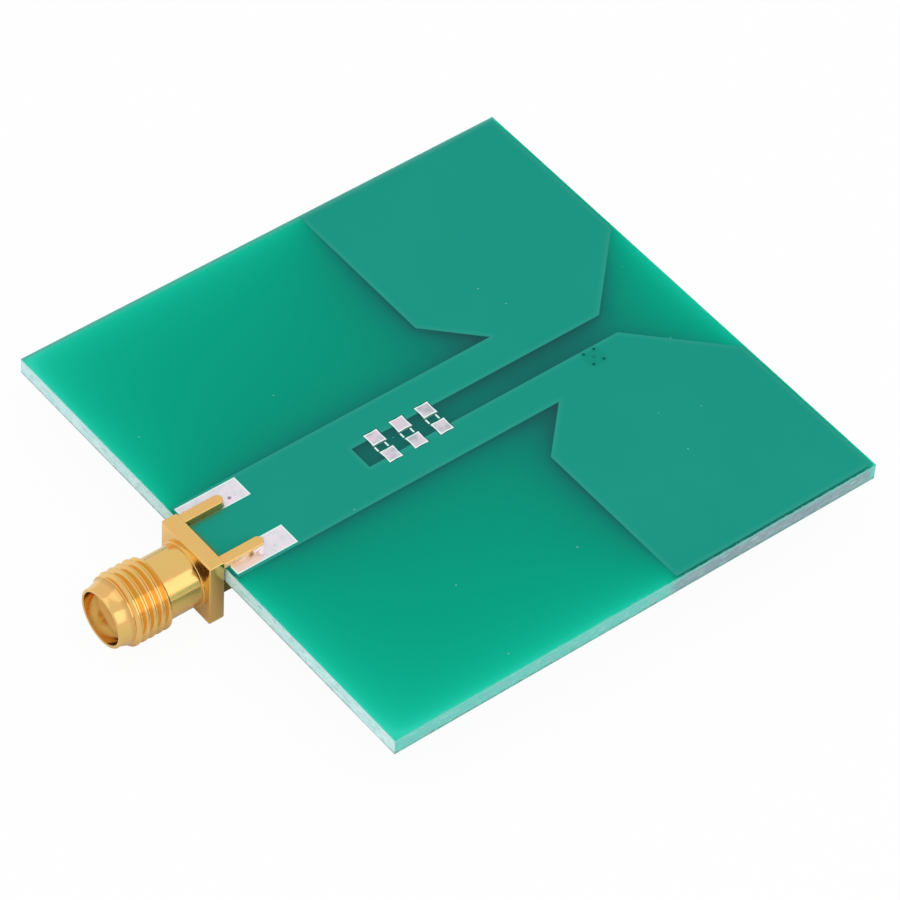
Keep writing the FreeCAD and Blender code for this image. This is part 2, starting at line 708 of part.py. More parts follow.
def build_pin_solder():
    """Solder between the feed pad and the pin, closed over the pin's end."""
    body = new_body("solder_feed")
    foot = sketch_on(body, "XY_Plane", "foot", LOWER_SEAT)
    wide = plus("Sizes.contact_radius", "Sizes.solder_width")
    far = plus(TAIL_END, "Sizes.solder_width")
    rectangle(foot, minus(wide), wide, SOLDER_START, far)
    crest = sketch_on(body, "XY_Plane", "crest", "Sizes.contact_bevel")
    slim = plus("Sizes.contact_radius", "Sizes.solder_width / 3")
    rectangle(crest, minus(slim), slim, SOLDER_START, plus(TAIL_END, "Sizes.solder_width / 3"))
    loft(body, foot, crest)
    pin = sketch_on(body, "XZ_Plane", "pin", minus(SOLDER_START))
    circle(pin, "0", "0", "Sizes.contact_radius")
    cut(body, pin, less(TAIL_END, SOLDER_START))


build_laminate()
build_dipole_foil()
build_feed_foil()
for side_name, side_sign in SIDES.items():
    build_lower_ground_foil(side_name, side_sign)
build_crossover_vias()
build_ground_via()
build_upper_mask()
build_lower_mask()
for side_name, side_sign in SIDES.items():
    build_ground_tin(side_name, side_sign, "upper", FOIL_TOP, False)
    build_ground_tin(side_name, side_sign, "lower", FOIL_BOTTOM, True)
    for chip_row in CHIP_ROWS:
        build_chip_tin(side_name, side_sign, chip_row)
build_feed_tin()
build_print()
build_shell()
build_insulator()
build_contact()
for side_name, side_sign in SIDES.items():
    build_leg_solder(side_name, side_sign, "upper", UPPER_SEAT, False)
    build_leg_solder(side_name, side_sign, "lower", LOWER_SEAT, True)
build_pin_solder()

doc.recompute()
for item in doc.Objects:
    if "Invalid" in item.State or "Error" in item.State:
        raise RuntimeError(f"{item.Name} did not compute: {item.State}")
for node in nodes:
    if node.Shape.isNull() or not node.Shape.isValid():
        raise RuntimeError(f"{node.Label} has no valid shape")

os.makedirs("parts", exist_ok=True)
for node in nodes:
    node.Shape.exportStep(os.path.join("parts", f"{node.Label}.step"))
    print(f"{node.Label}: {len(node.Shape.Solids)} solid, {node.Shape.Volume:.3f} mm3")
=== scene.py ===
import math

import bmesh
import bpy
import numpy as np
from bpy.props import FloatProperty, FloatVectorProperty, IntProperty, PointerProperty
from bpy.types import Operator, Panel, PropertyGroup
from mathutils import Matrix, Vector
from mathutils.bvhtree import BVHTree


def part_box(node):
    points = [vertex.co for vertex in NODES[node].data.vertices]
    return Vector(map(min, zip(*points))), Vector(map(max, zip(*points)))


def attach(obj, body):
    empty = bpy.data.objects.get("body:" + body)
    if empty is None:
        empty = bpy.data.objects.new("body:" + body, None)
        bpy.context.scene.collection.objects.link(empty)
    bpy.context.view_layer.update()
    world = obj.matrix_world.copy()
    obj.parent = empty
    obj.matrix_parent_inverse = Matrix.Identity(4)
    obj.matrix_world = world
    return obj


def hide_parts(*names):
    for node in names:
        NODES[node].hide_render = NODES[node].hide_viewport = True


bl_info = {
    "name": "Printed Dipole Looks",
    "version": (1, 0, 0),
    "blender": (4, 5, 0),
    "location": "3D View > Sidebar > Dipole",
    "description": "Dresses a printed dipole antenna with its edge jack, and sets up a plain studio",
    "category": "Object",
}

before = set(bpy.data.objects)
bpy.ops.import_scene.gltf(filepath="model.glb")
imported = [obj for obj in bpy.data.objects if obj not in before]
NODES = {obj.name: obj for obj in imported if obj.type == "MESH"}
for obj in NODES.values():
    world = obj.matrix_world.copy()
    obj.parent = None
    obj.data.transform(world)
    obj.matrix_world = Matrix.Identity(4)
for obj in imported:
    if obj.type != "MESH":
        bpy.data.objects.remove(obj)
MM = 0.001

# Where things are, read from the frame
BOARD_LOW, BOARD_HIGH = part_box("laminate")
FOIL_LOW, FOIL_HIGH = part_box("dipole_foil")
MASK_LOW, MASK_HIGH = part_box("upper_mask")
SHELL_LOW, SHELL_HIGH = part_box("jack_shell")

# Heights that differ by less than this are the same height
HAIR = 0.002 * MM


# Small helpers for meshes


def new_piece(name, mesh):
    piece = bpy.data.objects.new(name, mesh)
    bpy.context.scene.collection.objects.link(piece)
    return piece


def mesh_from(name, bm):
    mesh = bpy.data.meshes.new(name)
    bm.to_mesh(mesh)
    bm.free()
    return mesh


def smooth(mesh, degrees):
    """Shade a mesh smooth; edges sharper than the angle stay sharp."""
    mesh.shade_smooth()
    mesh.set_sharp_from_angle(angle=math.radians(degrees))


def joined_copy(node, merge=0.0005 * MM):
    """A bmesh of a frame node with its loose triangles joined into one skin."""
    bm = bmesh.new()
    bm.from_mesh(NODES[node].data)
    bmesh.ops.remove_doubles(bm, verts=bm.verts, dist=merge)
    return bm


def slice_in_squares(bm, low, high, step):
    """Cut a flat skin along evenly spaced lines, so that a tone can change smoothly over it."""
    for axis in (0, 1):
        normal = Vector((1, 0, 0)) if axis == 0 else Vector((0, 1, 0))
        count = int((high[axis] - low[axis]) / step)
        first = (low[axis] + high[axis] - count * step) / 2
        for number in range(count + 1):
            place = normal * (first + number * step)
            whole = bm.verts[:] + bm.edges[:] + bm.faces[:]
            bmesh.ops.bisect_plane(bm, geom=whole, plane_co=place, plane_no=normal, dist=1e-8)


def paint(mesh, name, values, domain="POINT"):
    """Store a number for each corner or face of a mesh, for its material to read."""
    mesh.attributes.new(name, "FLOAT", domain).data.foreach_set("value", values)


def coat(mesh, material):
    """Give a mesh one material in place of any it has."""
    mesh.materials.clear()
    mesh.materials.append(material)


def settle(piece, *nodes, slot):
    """Let a finished piece ride on the frame and stand for its nodes."""
    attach(piece, "root")
    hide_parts(*nodes)


def dress(node, suffix, mesh, material, slot):
    """Let a mesh in one material stand for a node."""
    coat(mesh, material)
    settle(new_piece(node + suffix, mesh), node, slot=slot)


def smooth_node(node, material, slot):
    """Let a smooth-shaded copy of a node stand for it."""
    mesh = mesh_from(node + "_smooth", joined_copy(node))
    smooth(mesh, 30)
    dress(node, "_smooth", mesh, material, slot)


def evaluated(piece, name):
    """Apply the modifiers of a piece, and leave a plain object in its place."""
    depsgraph = bpy.context.evaluated_depsgraph_get()
    mesh = bpy.data.meshes.new_from_object(piece.evaluated_get(depsgraph))
    mesh.name = name
    bpy.data.objects.remove(piece)
    return new_piece(name, mesh)


# Small helpers for node trees


class Wiring:
    """Adds nodes to a node tree and links them."""

    def __init__(self, tree):
        self.tree = tree

    def feed(self, socket, value):
        if isinstance(value, bpy.types.NodeSocket):
            self.tree.links.new(value, socket)
        else:
            socket.default_value = value

    def node(self, kind, inputs=(), **settings):
        made = self.tree.nodes.new(kind)
        for name, value in settings.items():
            setattr(made, name, value)
        for key, value in dict(inputs).items():
            self.feed(made.inputs[key], value)
        return made

    def given(self, kind, inputs=(), **settings):
        """The first output of a new node."""
        return self.node(kind, inputs, **settings).outputs[0]

    def maths(self, operation, *values):
        return self.given("ShaderNodeMath", dict(enumerate(values)), operation=operation)

    def times(self, first, second):
        return self.maths("MULTIPLY", first, second)

    def vector(self, *values):
        return self.given("ShaderNodeCombineXYZ", dict(enumerate(values)))


class Finish(Wiring):
    """A material under construction: its nodes, links and the shader that ends it."""

    def __init__(self, name, **values):
        self.material = bpy.data.materials.new(name)
        self.material.use_nodes = True
        super().__init__(self.material.node_tree)
        self.shader = self.tree.nodes["Principled BSDF"]
        self.shade(**values)

    def shade(self, **values):
        for name, value in values.items():
            self.feed(self.shader.inputs[name.replace("_", " ")], value)

    def place(self, scale=(1, 1, 1), turn=(0, 0, 0)):
        """Object coordinates, stretched and turned."""
        where = self.node("ShaderNodeTexCoord").outputs["Object"]
        return self.given("ShaderNodeMapping", {"Vector": where, "Scale": scale, "Rotation": turn})

    def axis(self, name):
        """How far along X, Y or Z a place on the surface is, in millimetres."""
        return self.times(self.node("ShaderNodeSeparateXYZ", {0: self.place()}).outputs[name], 1 / MM)

    def noise(self, size, detail=3.0, roughness=0.5, stretch=(1, 1, 1), turn=(0, 0, 0)):
        """Noise whose blobs are about this many millimetres across."""
        where = self.place([value / (size * MM) for value in stretch], turn)
        inputs = {"Vector": where, "Scale": 1.0, "Detail": detail, "Roughness": roughness}
        return self.given("ShaderNodeTexNoise", inputs)

    def blotches(self, size, low, high, share=1.0, **noise):
        """Noise whose peaks, from low to high, become a share."""
        return self.span(self.noise(size, **noise), low, high, 0.0, share)

    def ramp(self, value, stops):
        """A ramp from (place, colour) stops."""
        made = self.node("ShaderNodeValToRGB", {"Fac": value})
        elements = made.color_ramp.elements
        while len(elements) < len(stops):
            elements.new(0.5)
        for element, (place, colour) in zip(elements, stops):
            element.position, element.color = place, colour
        return made.outputs["Color"]

    def lay(self, colour, share=None):
        """Lay a colour over those laid so far, as far as the share goes."""
        self.colour = colour if share is None else self.blend(share, self.colour, colour)
        self.shade(Base_Color=self.colour)

    def cloud(self, size, first, second):
        """Lay soft clouds of two tones."""
        self.lay(self.ramp(self.noise(size), [(0.3, first), (0.7, second)]))

    def blend(self, share, first, second):
        """The first colour where the share is 0, and the second where it is 1."""
        made = self.node("ShaderNodeMix", data_type="RGBA", clamp_factor=True)
        self.feed(made.inputs["Factor"], share)
        self.feed(made.inputs[6], first)
        self.feed(made.inputs[7], second)
        return made.outputs[2]

    def span(self, value, low, high, to_low=0.0, to_high=1.0):
        """A number that goes from to_low to to_high while the value goes from low to high."""
        inputs = {"Value": value, "From Min": low, "From Max": high, "To Min": to_low, "To Max": to_high}
        return self.given("ShaderNodeMapRange", inputs)

    def painted(self, name):
        """A number that the mesh carries for each of its corners."""
        return self.node("ShaderNodeAttribute", attribute_name=name).outputs["Fac"]

    def near(self, spots, outside, inside):
        """1 within the inside distance of a spot seen from above, falling to 0 at the outside one."""
        where = self.node("ShaderNodeTexCoord").outputs["Object"]
        flat = self.given("ShaderNodeVectorMath", {0: where, 1: (1, 1, 0)}, operation="MULTIPLY")
        closest = None
        for x, y in spots:
            away = self.node("ShaderNodeVectorMath", {0: flat, 1: (x, y, 0)}, operation="DISTANCE")
            away = away.outputs["Value"]
            closest = away if closest is None else self.maths("MINIMUM", closest, away)
        return self.span(self.times(closest, 1 / MM), outside, inside)

    def mix(self, share, first, second):
        """End the material in two shaders, mixed by a share."""
        mixed = self.given("ShaderNodeMixShader", {0: share, 1: first, 2: second})
        self.feed(self.tree.nodes["Material Output"].inputs["Surface"], mixed)

    def bump(self, height, strength, depth):
        inputs = {"Height": height, "Strength": strength, "Distance": depth * MM}
        self.shade(Normal=self.given("ShaderNodeBump", inputs))


def tone(red, green, blue):
    """A colour as it shows on a screen, in 0 to 255, as the shader wants it."""

    def straight(value):
        share = value / 255
        return share / 12.92 if share <= 0.04045 else ((share + 0.055) / 1.055) ** 2.4

    return (straight(red), straight(green), straight(blue), 1.0)


def new_tree(name, **sockets):
    """A geometry node tree with named inputs: its wiring, its inputs and the socket that ends it."""
    tree = bpy.data.node_groups.new(name, "GeometryNodeTree")
    for kind, names in sockets.items():
        for label in names:
            tree.interface.new_socket(label, in_out="INPUT", socket_type="NodeSocket" + kind)
    tree.interface.new_socket("Geometry", in_out="OUTPUT", socket_type="NodeSocketGeometry")
    given = tree.nodes.new("NodeGroupInput").outputs
    return Wiring(tree), given, tree.nodes.new("NodeGroupOutput").inputs[0]


def grow(name, tree, values):
    """Run a node tree with the given values, and leave its result as a plain object."""
    piece = new_piece(name, bpy.data.meshes.new(name))
    modifier = piece.modifiers.new(tree.name, "NODES")
    modifier.node_group = tree
    for item in tree.interface.items_tree:
        if item.in_out == "INPUT":
            modifier[item.identifier] = values[item.name]
    return evaluated(piece, name)


# Light that spreads inside the glass laminate


class Spread:
    """How much light comes up through the laminate at each place of the board.

    Copper shades the laminate round it, and the cut edges let light in. Both effects are
    the share of copper, or of open air, near a place, weighted by a falling curve.
    """

    CELL = 0.25 * MM
    REACH = 19 * MM

    # Light passes slantwise through the laminate, so its shade lies beside the copper
    SLANT_ACROSS, SLANT_ALONG = 0.3 * MM, -0.2 * MM

    # The rim between copper and a cut edge: how much the far edge counts in it, and how fast it darkens
    FAR_RIM, RIM_GAIN = 0.9, 5.0

    def __init__(self, foil, settings):
        self.settings = settings
        margin = self.REACH
        self.low = Vector((BOARD_LOW.x - margin, BOARD_LOW.y - margin))
        self.columns = int((BOARD_HIGH.x - BOARD_LOW.x + 2 * margin) / self.CELL)
        self.rows = int((BOARD_HIGH.y - BOARD_LOW.y + 2 * margin) / self.CELL)
        across = self.low.x + (np.arange(self.columns) + 0.5) * self.CELL
        along = self.low.y + (np.arange(self.rows) + 0.5) * self.CELL
        inside_x = (across > BOARD_LOW.x) & (across < BOARD_HIGH.x)
        inside_y = (along > BOARD_LOW.y) & (along < BOARD_HIGH.y)
        air = 1.0 - np.outer(inside_y, inside_x)
        # The jack shades the front cut edge behind it, so no light comes in there.
        behind_jack = (across > SHELL_LOW.x) & (across < SHELL_HIGH.x)
        air[np.outer(along < BOARD_LOW.y, behind_jack)] = 0.0
        copper = self.covered_by(foil, across - self.SLANT_ACROSS, along - self.SLANT_ALONG)
        front_or_far = np.where(along < BOARD_LOW.y, 1.0, np.where(along > BOARD_HIGH.y, self.FAR_RIM, 0.0))
        dim_side = air * np.maximum.outer(front_or_far, (across > BOARD_HIGH.x).astype(float))
        self.glow = self.blur(copper, air, dim_side)

    def covered_by(self, foil, across, along):
        bm = joined_copy(foil)
        skin = BVHTree.FromBMesh(bm)
        low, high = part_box(foil)
        bm.free()
        cover = np.zeros((len(along), len(across)))
        start, down = high.z + MM, Vector((0, 0, -1))
        for row, y in enumerate(along):
            if not low.y <= y <= high.y:
                continue
            for column, x in enumerate(across):
                if low.x <= x <= high.x and skin.ray_cast(Vector((x, y, start)), down, 3 * MM)[0]:
                    cover[row, column] = 1.0
        return cover

    def curve(self, length):
        half = int(self.REACH / self.CELL)
        steps = np.arange(-half, half + 1) * self.CELL
        distance = np.hypot(*np.meshgrid(steps, steps))
        weights = np.exp(-distance / length) / np.maximum(distance, self.CELL * 0.3)
        return weights / weights.sum()

    def blur(self, copper, air, dim_side):
        settings = self.settings
        near, far, rim = settings.near_spread, settings.far_spread, settings.rim_width
        glow = settings.open_glow
        glow = glow - settings.copper_near * self.share(copper, near)
        glow = glow - settings.copper_far * self.share(copper, far)
        glow = glow + settings.air_near * self.share(air, near)
        glow = glow + settings.air_far * self.share(air, far)
        narrow = np.clip(self.RIM_GAIN * self.share(copper, rim) * self.share(dim_side, rim), 0.0, 1.0)
        return glow * (1.0 - settings.rim_shade * narrow)

    def share(self, field, length):
        """Share of a field near each cell, weighted by the curve of that length."""
        weights = self.curve(length)
        shape = [a + b - 1 for a, b in zip(field.shape, weights.shape)]
        whole = np.fft.irfft2(np.fft.rfft2(field, shape) * np.fft.rfft2(weights, shape), shape)
        skip = weights.shape[0] // 2
        return whole[skip : skip + field.shape[0], skip : skip + field.shape[1]]

    def at(self, x, y):
        column = min(max((x - self.low.x) / self.CELL - 0.5, 0), self.columns - 1.001)
        row = min(max((y - self.low.y) / self.CELL - 0.5, 0), self.rows - 1.001)
        left, near = int(column), int(row)
        right_share, far_share = column - left, row - near
        nearer = self.glow[near, left] * (1 - right_share) + self.glow[near, left + 1] * right_share
        farther = self.glow[near + 1, left] * (1 - right_share) + self.glow[near + 1, left + 1] * right_share
        return nearer * (1 - far_share) + farther * far_share

    def paint(self, mesh):
        paint(mesh, "glow", [self.at(vertex.co.x, vertex.co.y) for vertex in mesh.vertices])


# Settings


def length(name, description, millimetres):
    return FloatProperty(name=name, description=description, default=millimetres * MM, unit="LENGTH")


def amount(name, description, default, top=10.0):
    words = {"name": name, "description": description}
    return FloatProperty(**words, default=default, min=0.0, max=top, subtype="FACTOR")


class DipoleBoardSettings(PropertyGroup):
    mesh_step: length("Mesh step", "Spacing of the mask's mesh, over which the laminate's glow changes", 0.5)
    near_spread: length("Near spread", "Short reach of light in the laminate", 1.2)
    far_spread: length("Far spread", "Long reach of light in the laminate", 6.0)
    open_glow: amount("Open glow", "Glow of laminate far from copper and edges", 0.333)
    copper_near: amount("Copper, near", "Shade of copper close by", 0.088)
    copper_far: amount("Copper, far", "Shade of copper farther away", 0.323)
    air_near: amount("Edge, near", "Light from a cut edge close by", 0.192)
    air_far: amount("Edge, far", "Light from a cut edge farther away", 0.333)
    rim_width: length("Rim width", "Reach of the shade between copper and a cut edge", 0.5)
    rim_shade: amount("Rim shade", "Loss of glow in that narrow rim", 0.62, 1.0)
    shoulder_width: length("Shoulder", "Width of the mask's slope down from the copper", 0.08)
    # The pale line is a painted highlight along the copper's edge, where the mask also thins.
    crest_highlight_width: length("Crest", "Width of the pale line where the mask thins over the copper's edge", 0.42)
    gap_lip: length("Gap lip", "How far the mask leans over the gap behind the flange", 0.12)
    # The bright tin rim is a painted highlight.
    tin_rim_highlight: length("Tin rim", "Width of the bright rim of a tinned pad", 0.17)
    pad_crown: length("Pad crown", "How much a chip pad's tin stands up in the middle", 0.02)
    pad_pinch: amount("Pad pinch", "Share by which a chip pad's sides draw in between its corners", 0.07, 1.0)
    covered_colour: FloatVectorProperty(
        name="Mask on copper",
        description="Colour of the solder mask over copper",
        subtype="COLOR",
        default=tone(28, 151, 131)[:3],
    )


class DipoleJackSettings(PropertyGroup):
    gold: FloatVectorProperty(
        name="Gold", description="Colour of the gold plate", subtype="COLOR", default=(0.87, 0.55, 0.18)
    )
    segments: IntProperty(name="Segments", description="Sides of the turned parts", default=192, min=32)
    thread_pitch: length("Thread pitch", "One turn of the coupling thread", 0.7056)
    thread_radius: length("Thread radius", "Outside of the coupling thread", 3.125)
    thread_depth: length("Thread depth", "Depth of the thread's groove", 0.36)
    thread_floor: length("Groove floor", "Width of the groove's floor", 0.09)
    thread_land: length("Crest", "Width of the thread's crest", 0.12)
    leg_top: length("Leg top", "Height of the upper legs, just below the flange's top", 2.93)
    edge_round: length("Edge round", "Rounding of the milled edges", 0.11)


class DipoleStageSettings(PropertyGroup):
    camera_place: FloatVectorProperty(
        name="Camera place",
        description="Where the photograph was taken from",
        subtype="TRANSLATION",
        unit="LENGTH",
        default=(0.2169575, -0.1526228, 0.3062462),
    )
    camera_turn: FloatVectorProperty(
        name="Camera turn",
        description="How the camera is turned",
        subtype="EULER",
        unit="ROTATION",
        default=[math.radians(angle) for angle in (42.78163, -2.44545, 51.89649)],
    )
    camera_lens: FloatProperty(name="Lens", description="Focal length, mm", default=210.48, min=1.0)
    world_light: amount("World light", "Brightness of the even light all round", 0.86)
    right_light: amount("Right box", "Brightness that the box at the right adds", 0.6)
    top_light: amount("Top box", "Brightness that the box overhead adds", 0.35)
    floor_white: amount("White floor", "Share of plain white in the floor as the camera sees it", 0.955, 1.0)
    floor_mirrored: amount("Mirrored floor", "Share of plain white in the floor as metal shows it", 0.08, 1.0)


# Board


def hole_centres(node):
    """Middle of each separate tube in a node, seen from above."""
    bm = joined_copy(node)
    centres, waiting = [], set(bm.verts)
    while waiting:
        reached = {waiting.pop()}
        fresh = list(reached)
        while fresh:
            for edge in fresh.pop().link_edges:
                for vertex in edge.verts:
                    if vertex not in reached:
                        reached.add(vertex)
                        fresh.append(vertex)
        waiting -= reached
        xs, ys = [vertex.co.x for vertex in reached], [vertex.co.y for vertex in reached]
        centres.append(((min(xs) + max(xs)) / 2, (min(ys) + max(ys)) / 2))
    bm.free()
    return sorted(centres)


def mask_green(finish, settings):
    """A glowing green over bare laminate, and a flat blue-green over copper."""
    lit = finish.ramp(
        finish.span(finish.painted("glow"), 0.06, 0.62),
        [
            (0.00, tone(31, 84, 84)),
            (0.14, tone(25, 104, 97)),
            (0.25, tone(18, 125, 110)),
            (0.38, tone(13, 145, 120)),
            (0.46, tone(9, 154, 126)),
            (0.55, tone(8, 164, 132)),
            (0.64, tone(10, 174, 141)),
            (0.76, tone(16, 186, 152)),
            (0.88, tone(28, 198, 165)),
            (1.00, tone(48, 211, 179)),
        ],
    )
    drift = finish.blotches(11.0, 0.35, 0.65, detail=2.0)
    patches = finish.blotches(4.5, 0.5, 0.75, 0.35, detail=4.0)
    # A painted highlight: a pale line along the copper's edge, where the mask also thins over it.
    crest = finish.span(finish.painted("shore"), settings.crest_highlight_width / MM, 0.05, 0.0, 0.95)
    covered = finish.blend(drift, (*settings.covered_colour, 1.0), tone(30, 153, 133))
    covered = finish.blend(patches, covered, tone(25, 149, 129))
    covered = finish.blend(crest, covered, tone(46, 155, 138))
    height = finish.painted("on_copper")
    finish.lay(lit)
    finish.lay(tone(34, 146, 128), finish.span(height, 0.2, 0.55))
    finish.lay(covered, finish.span(height, 0.75, 1.0))


def mask_halo_and_wear(finish):
    """A painted halo of light along the left cut edge, a frayed rim along every cut edge, and specks of dust.
    """
    finish.lay(tone(92, 162, 150), finish.span(finish.painted("left_edge"), 0.5, 0.1, 0.0, 0.72))
    rim = finish.blotches(0.35, 0.4, 0.7, 0.14)
    frayed = finish.maths("LESS_THAN", finish.painted("edge_distance"), rim)
    finish.lay(tone(122, 195, 185), finish.times(frayed, 0.35))
    cells = {"Vector": finish.place([1 / (3.3 * MM)] * 3), "Scale": 1.0}
    specks = finish.node("ShaderNodeTexVoronoi", cells).outputs["Distance"]
    finish.lay(tone(120, 205, 185), finish.span(specks, 0.026, 0.016, 0.0, 0.7))


def mask_gold_reflection(finish):
    """A painted olive reflection of the gold jack in the glossy mask: between the upper legs, along the
    flange and beside the left leg.
    """
    across, along = finish.axis("X"), finish.axis("Y")
    by_leg = finish.times(finish.span(across, -1.5, -1.95), finish.span(along, 13.6, 12.6))
    gold_reflection = finish.maths("MAXIMUM", by_leg, finish.span(along, 10.3, 9.9))
    between = finish.span(finish.maths("ABSOLUTE", across), 2.1, 1.98, 0.0, 0.5)
    above = finish.span(finish.axis("Z"), 0.0, 1.0)
    finish.lay(tone(78, 122, 62), finish.times(finish.times(gold_reflection, between), above))


def mask_pits(finish, spots):
    """A painted dark shade of a pit over each plated hole, faint over the middle one, and a shade round them
    all.
    """
    middle = len(spots) // 2
    inner, outer = spots[middle : middle + 1], spots[:middle] + spots[middle + 1 :]
    finish.lay(tone(20, 136, 114), finish.times(finish.near(inner, 1.25, 0.6), 0.4))
    for centres, depth in ((outer, 0.95), (inner, 0.4)):
        finish.lay(tone(22, 130, 112), finish.times(finish.near(centres, 0.36, 0.17), 0.3 * depth))
        finish.lay(tone(3, 84, 72), finish.times(finish.near(centres, 0.17, 0.08), depth))


def mask_finish(settings, spots):
    """Green solder mask, with what shows through it, what lies on it, and light, shade and reflection painted
    on it.
    """
    finish = Finish("Solder mask", Roughness=0.45, Specular_IOR_Level=0.01)
    mask_green(finish, settings)
    mask_halo_and_wear(finish)
    mask_gold_reflection(finish)
    mask_pits(finish, spots)
    finish.bump(finish.noise(0.5, detail=2.0), 0.15, 0.004)
    return finish.material


def step_walls(bm, top, foot):
    """Walls where the mask steps from the copper down to the laminate."""
    low, high = sorted((top, foot))
    walls = []
    for face in bm.faces:
        heights = [vertex.co.z for vertex in face.verts]
        whole = abs(min(heights) - low) < HAIR and abs(max(heights) - high) < HAIR
        if abs(face.normal.z) < 0.5 and whole:
            walls.append(face)
    return walls


def lean_walls(walls, foot, width):
    """Move the foot of each wall outward, so that the mask slopes down from the copper."""
    outward = {}
    for face in walls:
        for vertex in face.verts:
            if abs(vertex.co.z - foot) < HAIR:
                known = outward.setdefault(vertex, [])
                if all(face.normal.dot(other) < 0.999 for other in known):
                    known.append(face.normal.copy())
    for vertex, normals in outward.items():
        mitre = normals[0]
        if len(normals) > 1:
            mitre = (normals[0] + normals[1]) / (1 + normals[0].dot(normals[1]))
        vertex.co += mitre * width


def shore_distances(mesh, shore):
    """Millimetres from each corner of the mesh to the outline of the copper, seen from above."""
    places = np.array([vertex.co[:2] for vertex in mesh.vertices])
    nearest = np.full(len(places), 1.0)
    for start, end in shore:
        along = end - start
        share = np.clip((places - start) @ along / (along @ along), 0.0, 1.0)
        nearest = np.minimum(nearest, np.hypot(*(places - start - share[:, None] * along).T))
    return list(nearest / MM)


def edge_distances(mesh):
    """Millimetres from each corner of the mesh to the board's nearest cut edge, and to the left one."""
    nearest, beside = [], []
    for vertex in mesh.vertices:
        x, y = vertex.co.x, vertex.co.y
        left, far = x - BOARD_LOW.x, BOARD_HIGH.y - y
        beside.append(max(left, 0.0) / MM)
        nearest.append(max(min(left, far, BOARD_HIGH.x - x, y - BOARD_LOW.y), 0.0) / MM)
    return nearest, beside


def build_mask(name, foil, up, settings):
    """A mask's skin in small squares, painted with the laminate's glow and with its height."""
    top = MASK_HIGH.z if up > 0 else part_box(name)[0].z
    foot = top - up * (FOIL_HIGH.z - FOIL_LOW.z)
    bm = joined_copy(name)
    walls = step_walls(bm, top, foot)
    edges = {edge for face in walls for edge in face.edges}
    crests = [edge for edge in edges if all(abs(vertex.co.z - top) < HAIR for vertex in edge.verts)]
    shore = [[np.array(vertex.co[:2]) for vertex in edge.verts] for edge in crests]
    lean_walls(walls, foot, settings.shoulder_width)
    slice_in_squares(bm, BOARD_LOW, BOARD_HIGH, settings.mesh_step)
    lip_half = SHELL_HIGH.x - 0.3 * MM
    if up > 0:
        for vertex in bm.verts:
            at_edge = vertex.co.y < BOARD_LOW.y + HAIR and vertex.co.z > foot - HAIR
            if at_edge and abs(vertex.co.x) < lip_half:
                vertex.co.y -= settings.gap_lip
    mesh = mesh_from(name + "_skin", bm)
    Spread(foil, settings).paint(mesh)
    paint(mesh, "on_copper", [(vertex.co.z - foot) / (top - foot) for vertex in mesh.vertices])
    paint(mesh, "shore", shore_distances(mesh, shore))
    nearest, beside = edge_distances(mesh)
    paint(mesh, "edge_distance", nearest)
    paint(mesh, "left_edge", beside)
    return mesh


class DIPOLE_OT_masks(Operator):
    """Solder masks on both sides, glowing where the laminate under them is bare"""

    bl_idname = "dipole.masks"
    bl_label = "Solder masks"

    def execute(self, context):
        settings = context.scene.dipole_board
        spots = hole_centres("crossover_vias")
        for node, foil, up in (("upper_mask", "dipole_foil", 1), ("lower_mask", "feed_foil", -1)):
            mesh = build_mask(node, foil, up, settings)
            dress(node, "_skin", mesh, mask_finish(settings, spots), "solder_mask")
        return {"FINISHED"}


def laminate_finish():
    """Cut edge of glass laminate: whitish and frayed at the ends, where the whiteness is also a painted light
    on the front; green and glassy at the sides, after the laminate's painted glow.
    """
    finish = Finish("Glass laminate", Roughness=0.6, Specular_IOR_Level=0.25)
    low, high = BOARD_LOW.z / MM, BOARD_HIGH.z / MM
    front = finish.painted("front")
    side = finish.ramp(
        finish.span(finish.painted("glow"), 0.12, 0.5),
        [(0.0, tone(142, 162, 170)), (0.4, tone(136, 172, 175)), (1.0, tone(112, 208, 194))],
    )
    pale = finish.blotches(1.6, 0.4, 0.62)
    finish.lay(side)
    finish.lay(finish.blend(pale, tone(204, 250, 250), tone(222, 255, 255)), front)
    finish.lay(tone(176, 180, 194), finish.blotches(0.8, 0.55, 0.72, 0.5, stretch=(1, 1, 1.6)))
    mint = finish.blotches(0.55, 0.56, 0.7, 0.4, detail=2.0, stretch=(0.6, 0.6, 2.0))
    finish.lay(tone(160, 225, 208), mint)
    strands = finish.noise(0.5, detail=4.0, roughness=0.7, stretch=(0.5, 0.5, 3.5), turn=(0.5, 0.4, 0))
    finish.lay(tone(110, 140, 144), finish.span(strands, 0.56, 0.68, 0.0, 0.45))
    finish.lay(tone(226, 243, 241), finish.span(strands, 0.4, 0.3, 0.0, 0.6))
    ragged = finish.maths("ADD", finish.axis("Z"), finish.span(finish.noise(0.5), 0.3, 0.7, -0.12, 0.12))
    bright = finish.blend(front, tone(122, 214, 196), tone(188, 246, 236))
    finish.lay(bright, finish.times(finish.span(ragged, high - 0.32, high - 0.12), 0.65))
    # A painted shade along the lower edge of the cut face.
    dark = finish.blend(front, tone(92, 146, 134), tone(176, 190, 186))
    finish.lay(dark, finish.times(finish.span(ragged, low + 0.22, low + 0.06), 0.75))
    finish.bump(strands, 0.4, 0.03)
    return finish.material


class DIPOLE_OT_laminate(Operator):
    """Glass laminate, with woven layers on its cut edges"""

    bl_idname = "dipole.laminate"
    bl_label = "Laminate"

    def execute(self, context):
        bm = joined_copy("laminate")
        slice_in_squares(bm, BOARD_LOW, BOARD_HIGH, 1.5 * MM)
        mesh = mesh_from("laminate_core", bm)
        Spread("dipole_foil", context.scene.dipole_board).paint(mesh)
        paint(mesh, "front", [abs(face.normal.y) for face in mesh.polygons], "FACE")
        dress("laminate", "_core", mesh, laminate_finish(), "laminate")
        return {"FINISHED"}


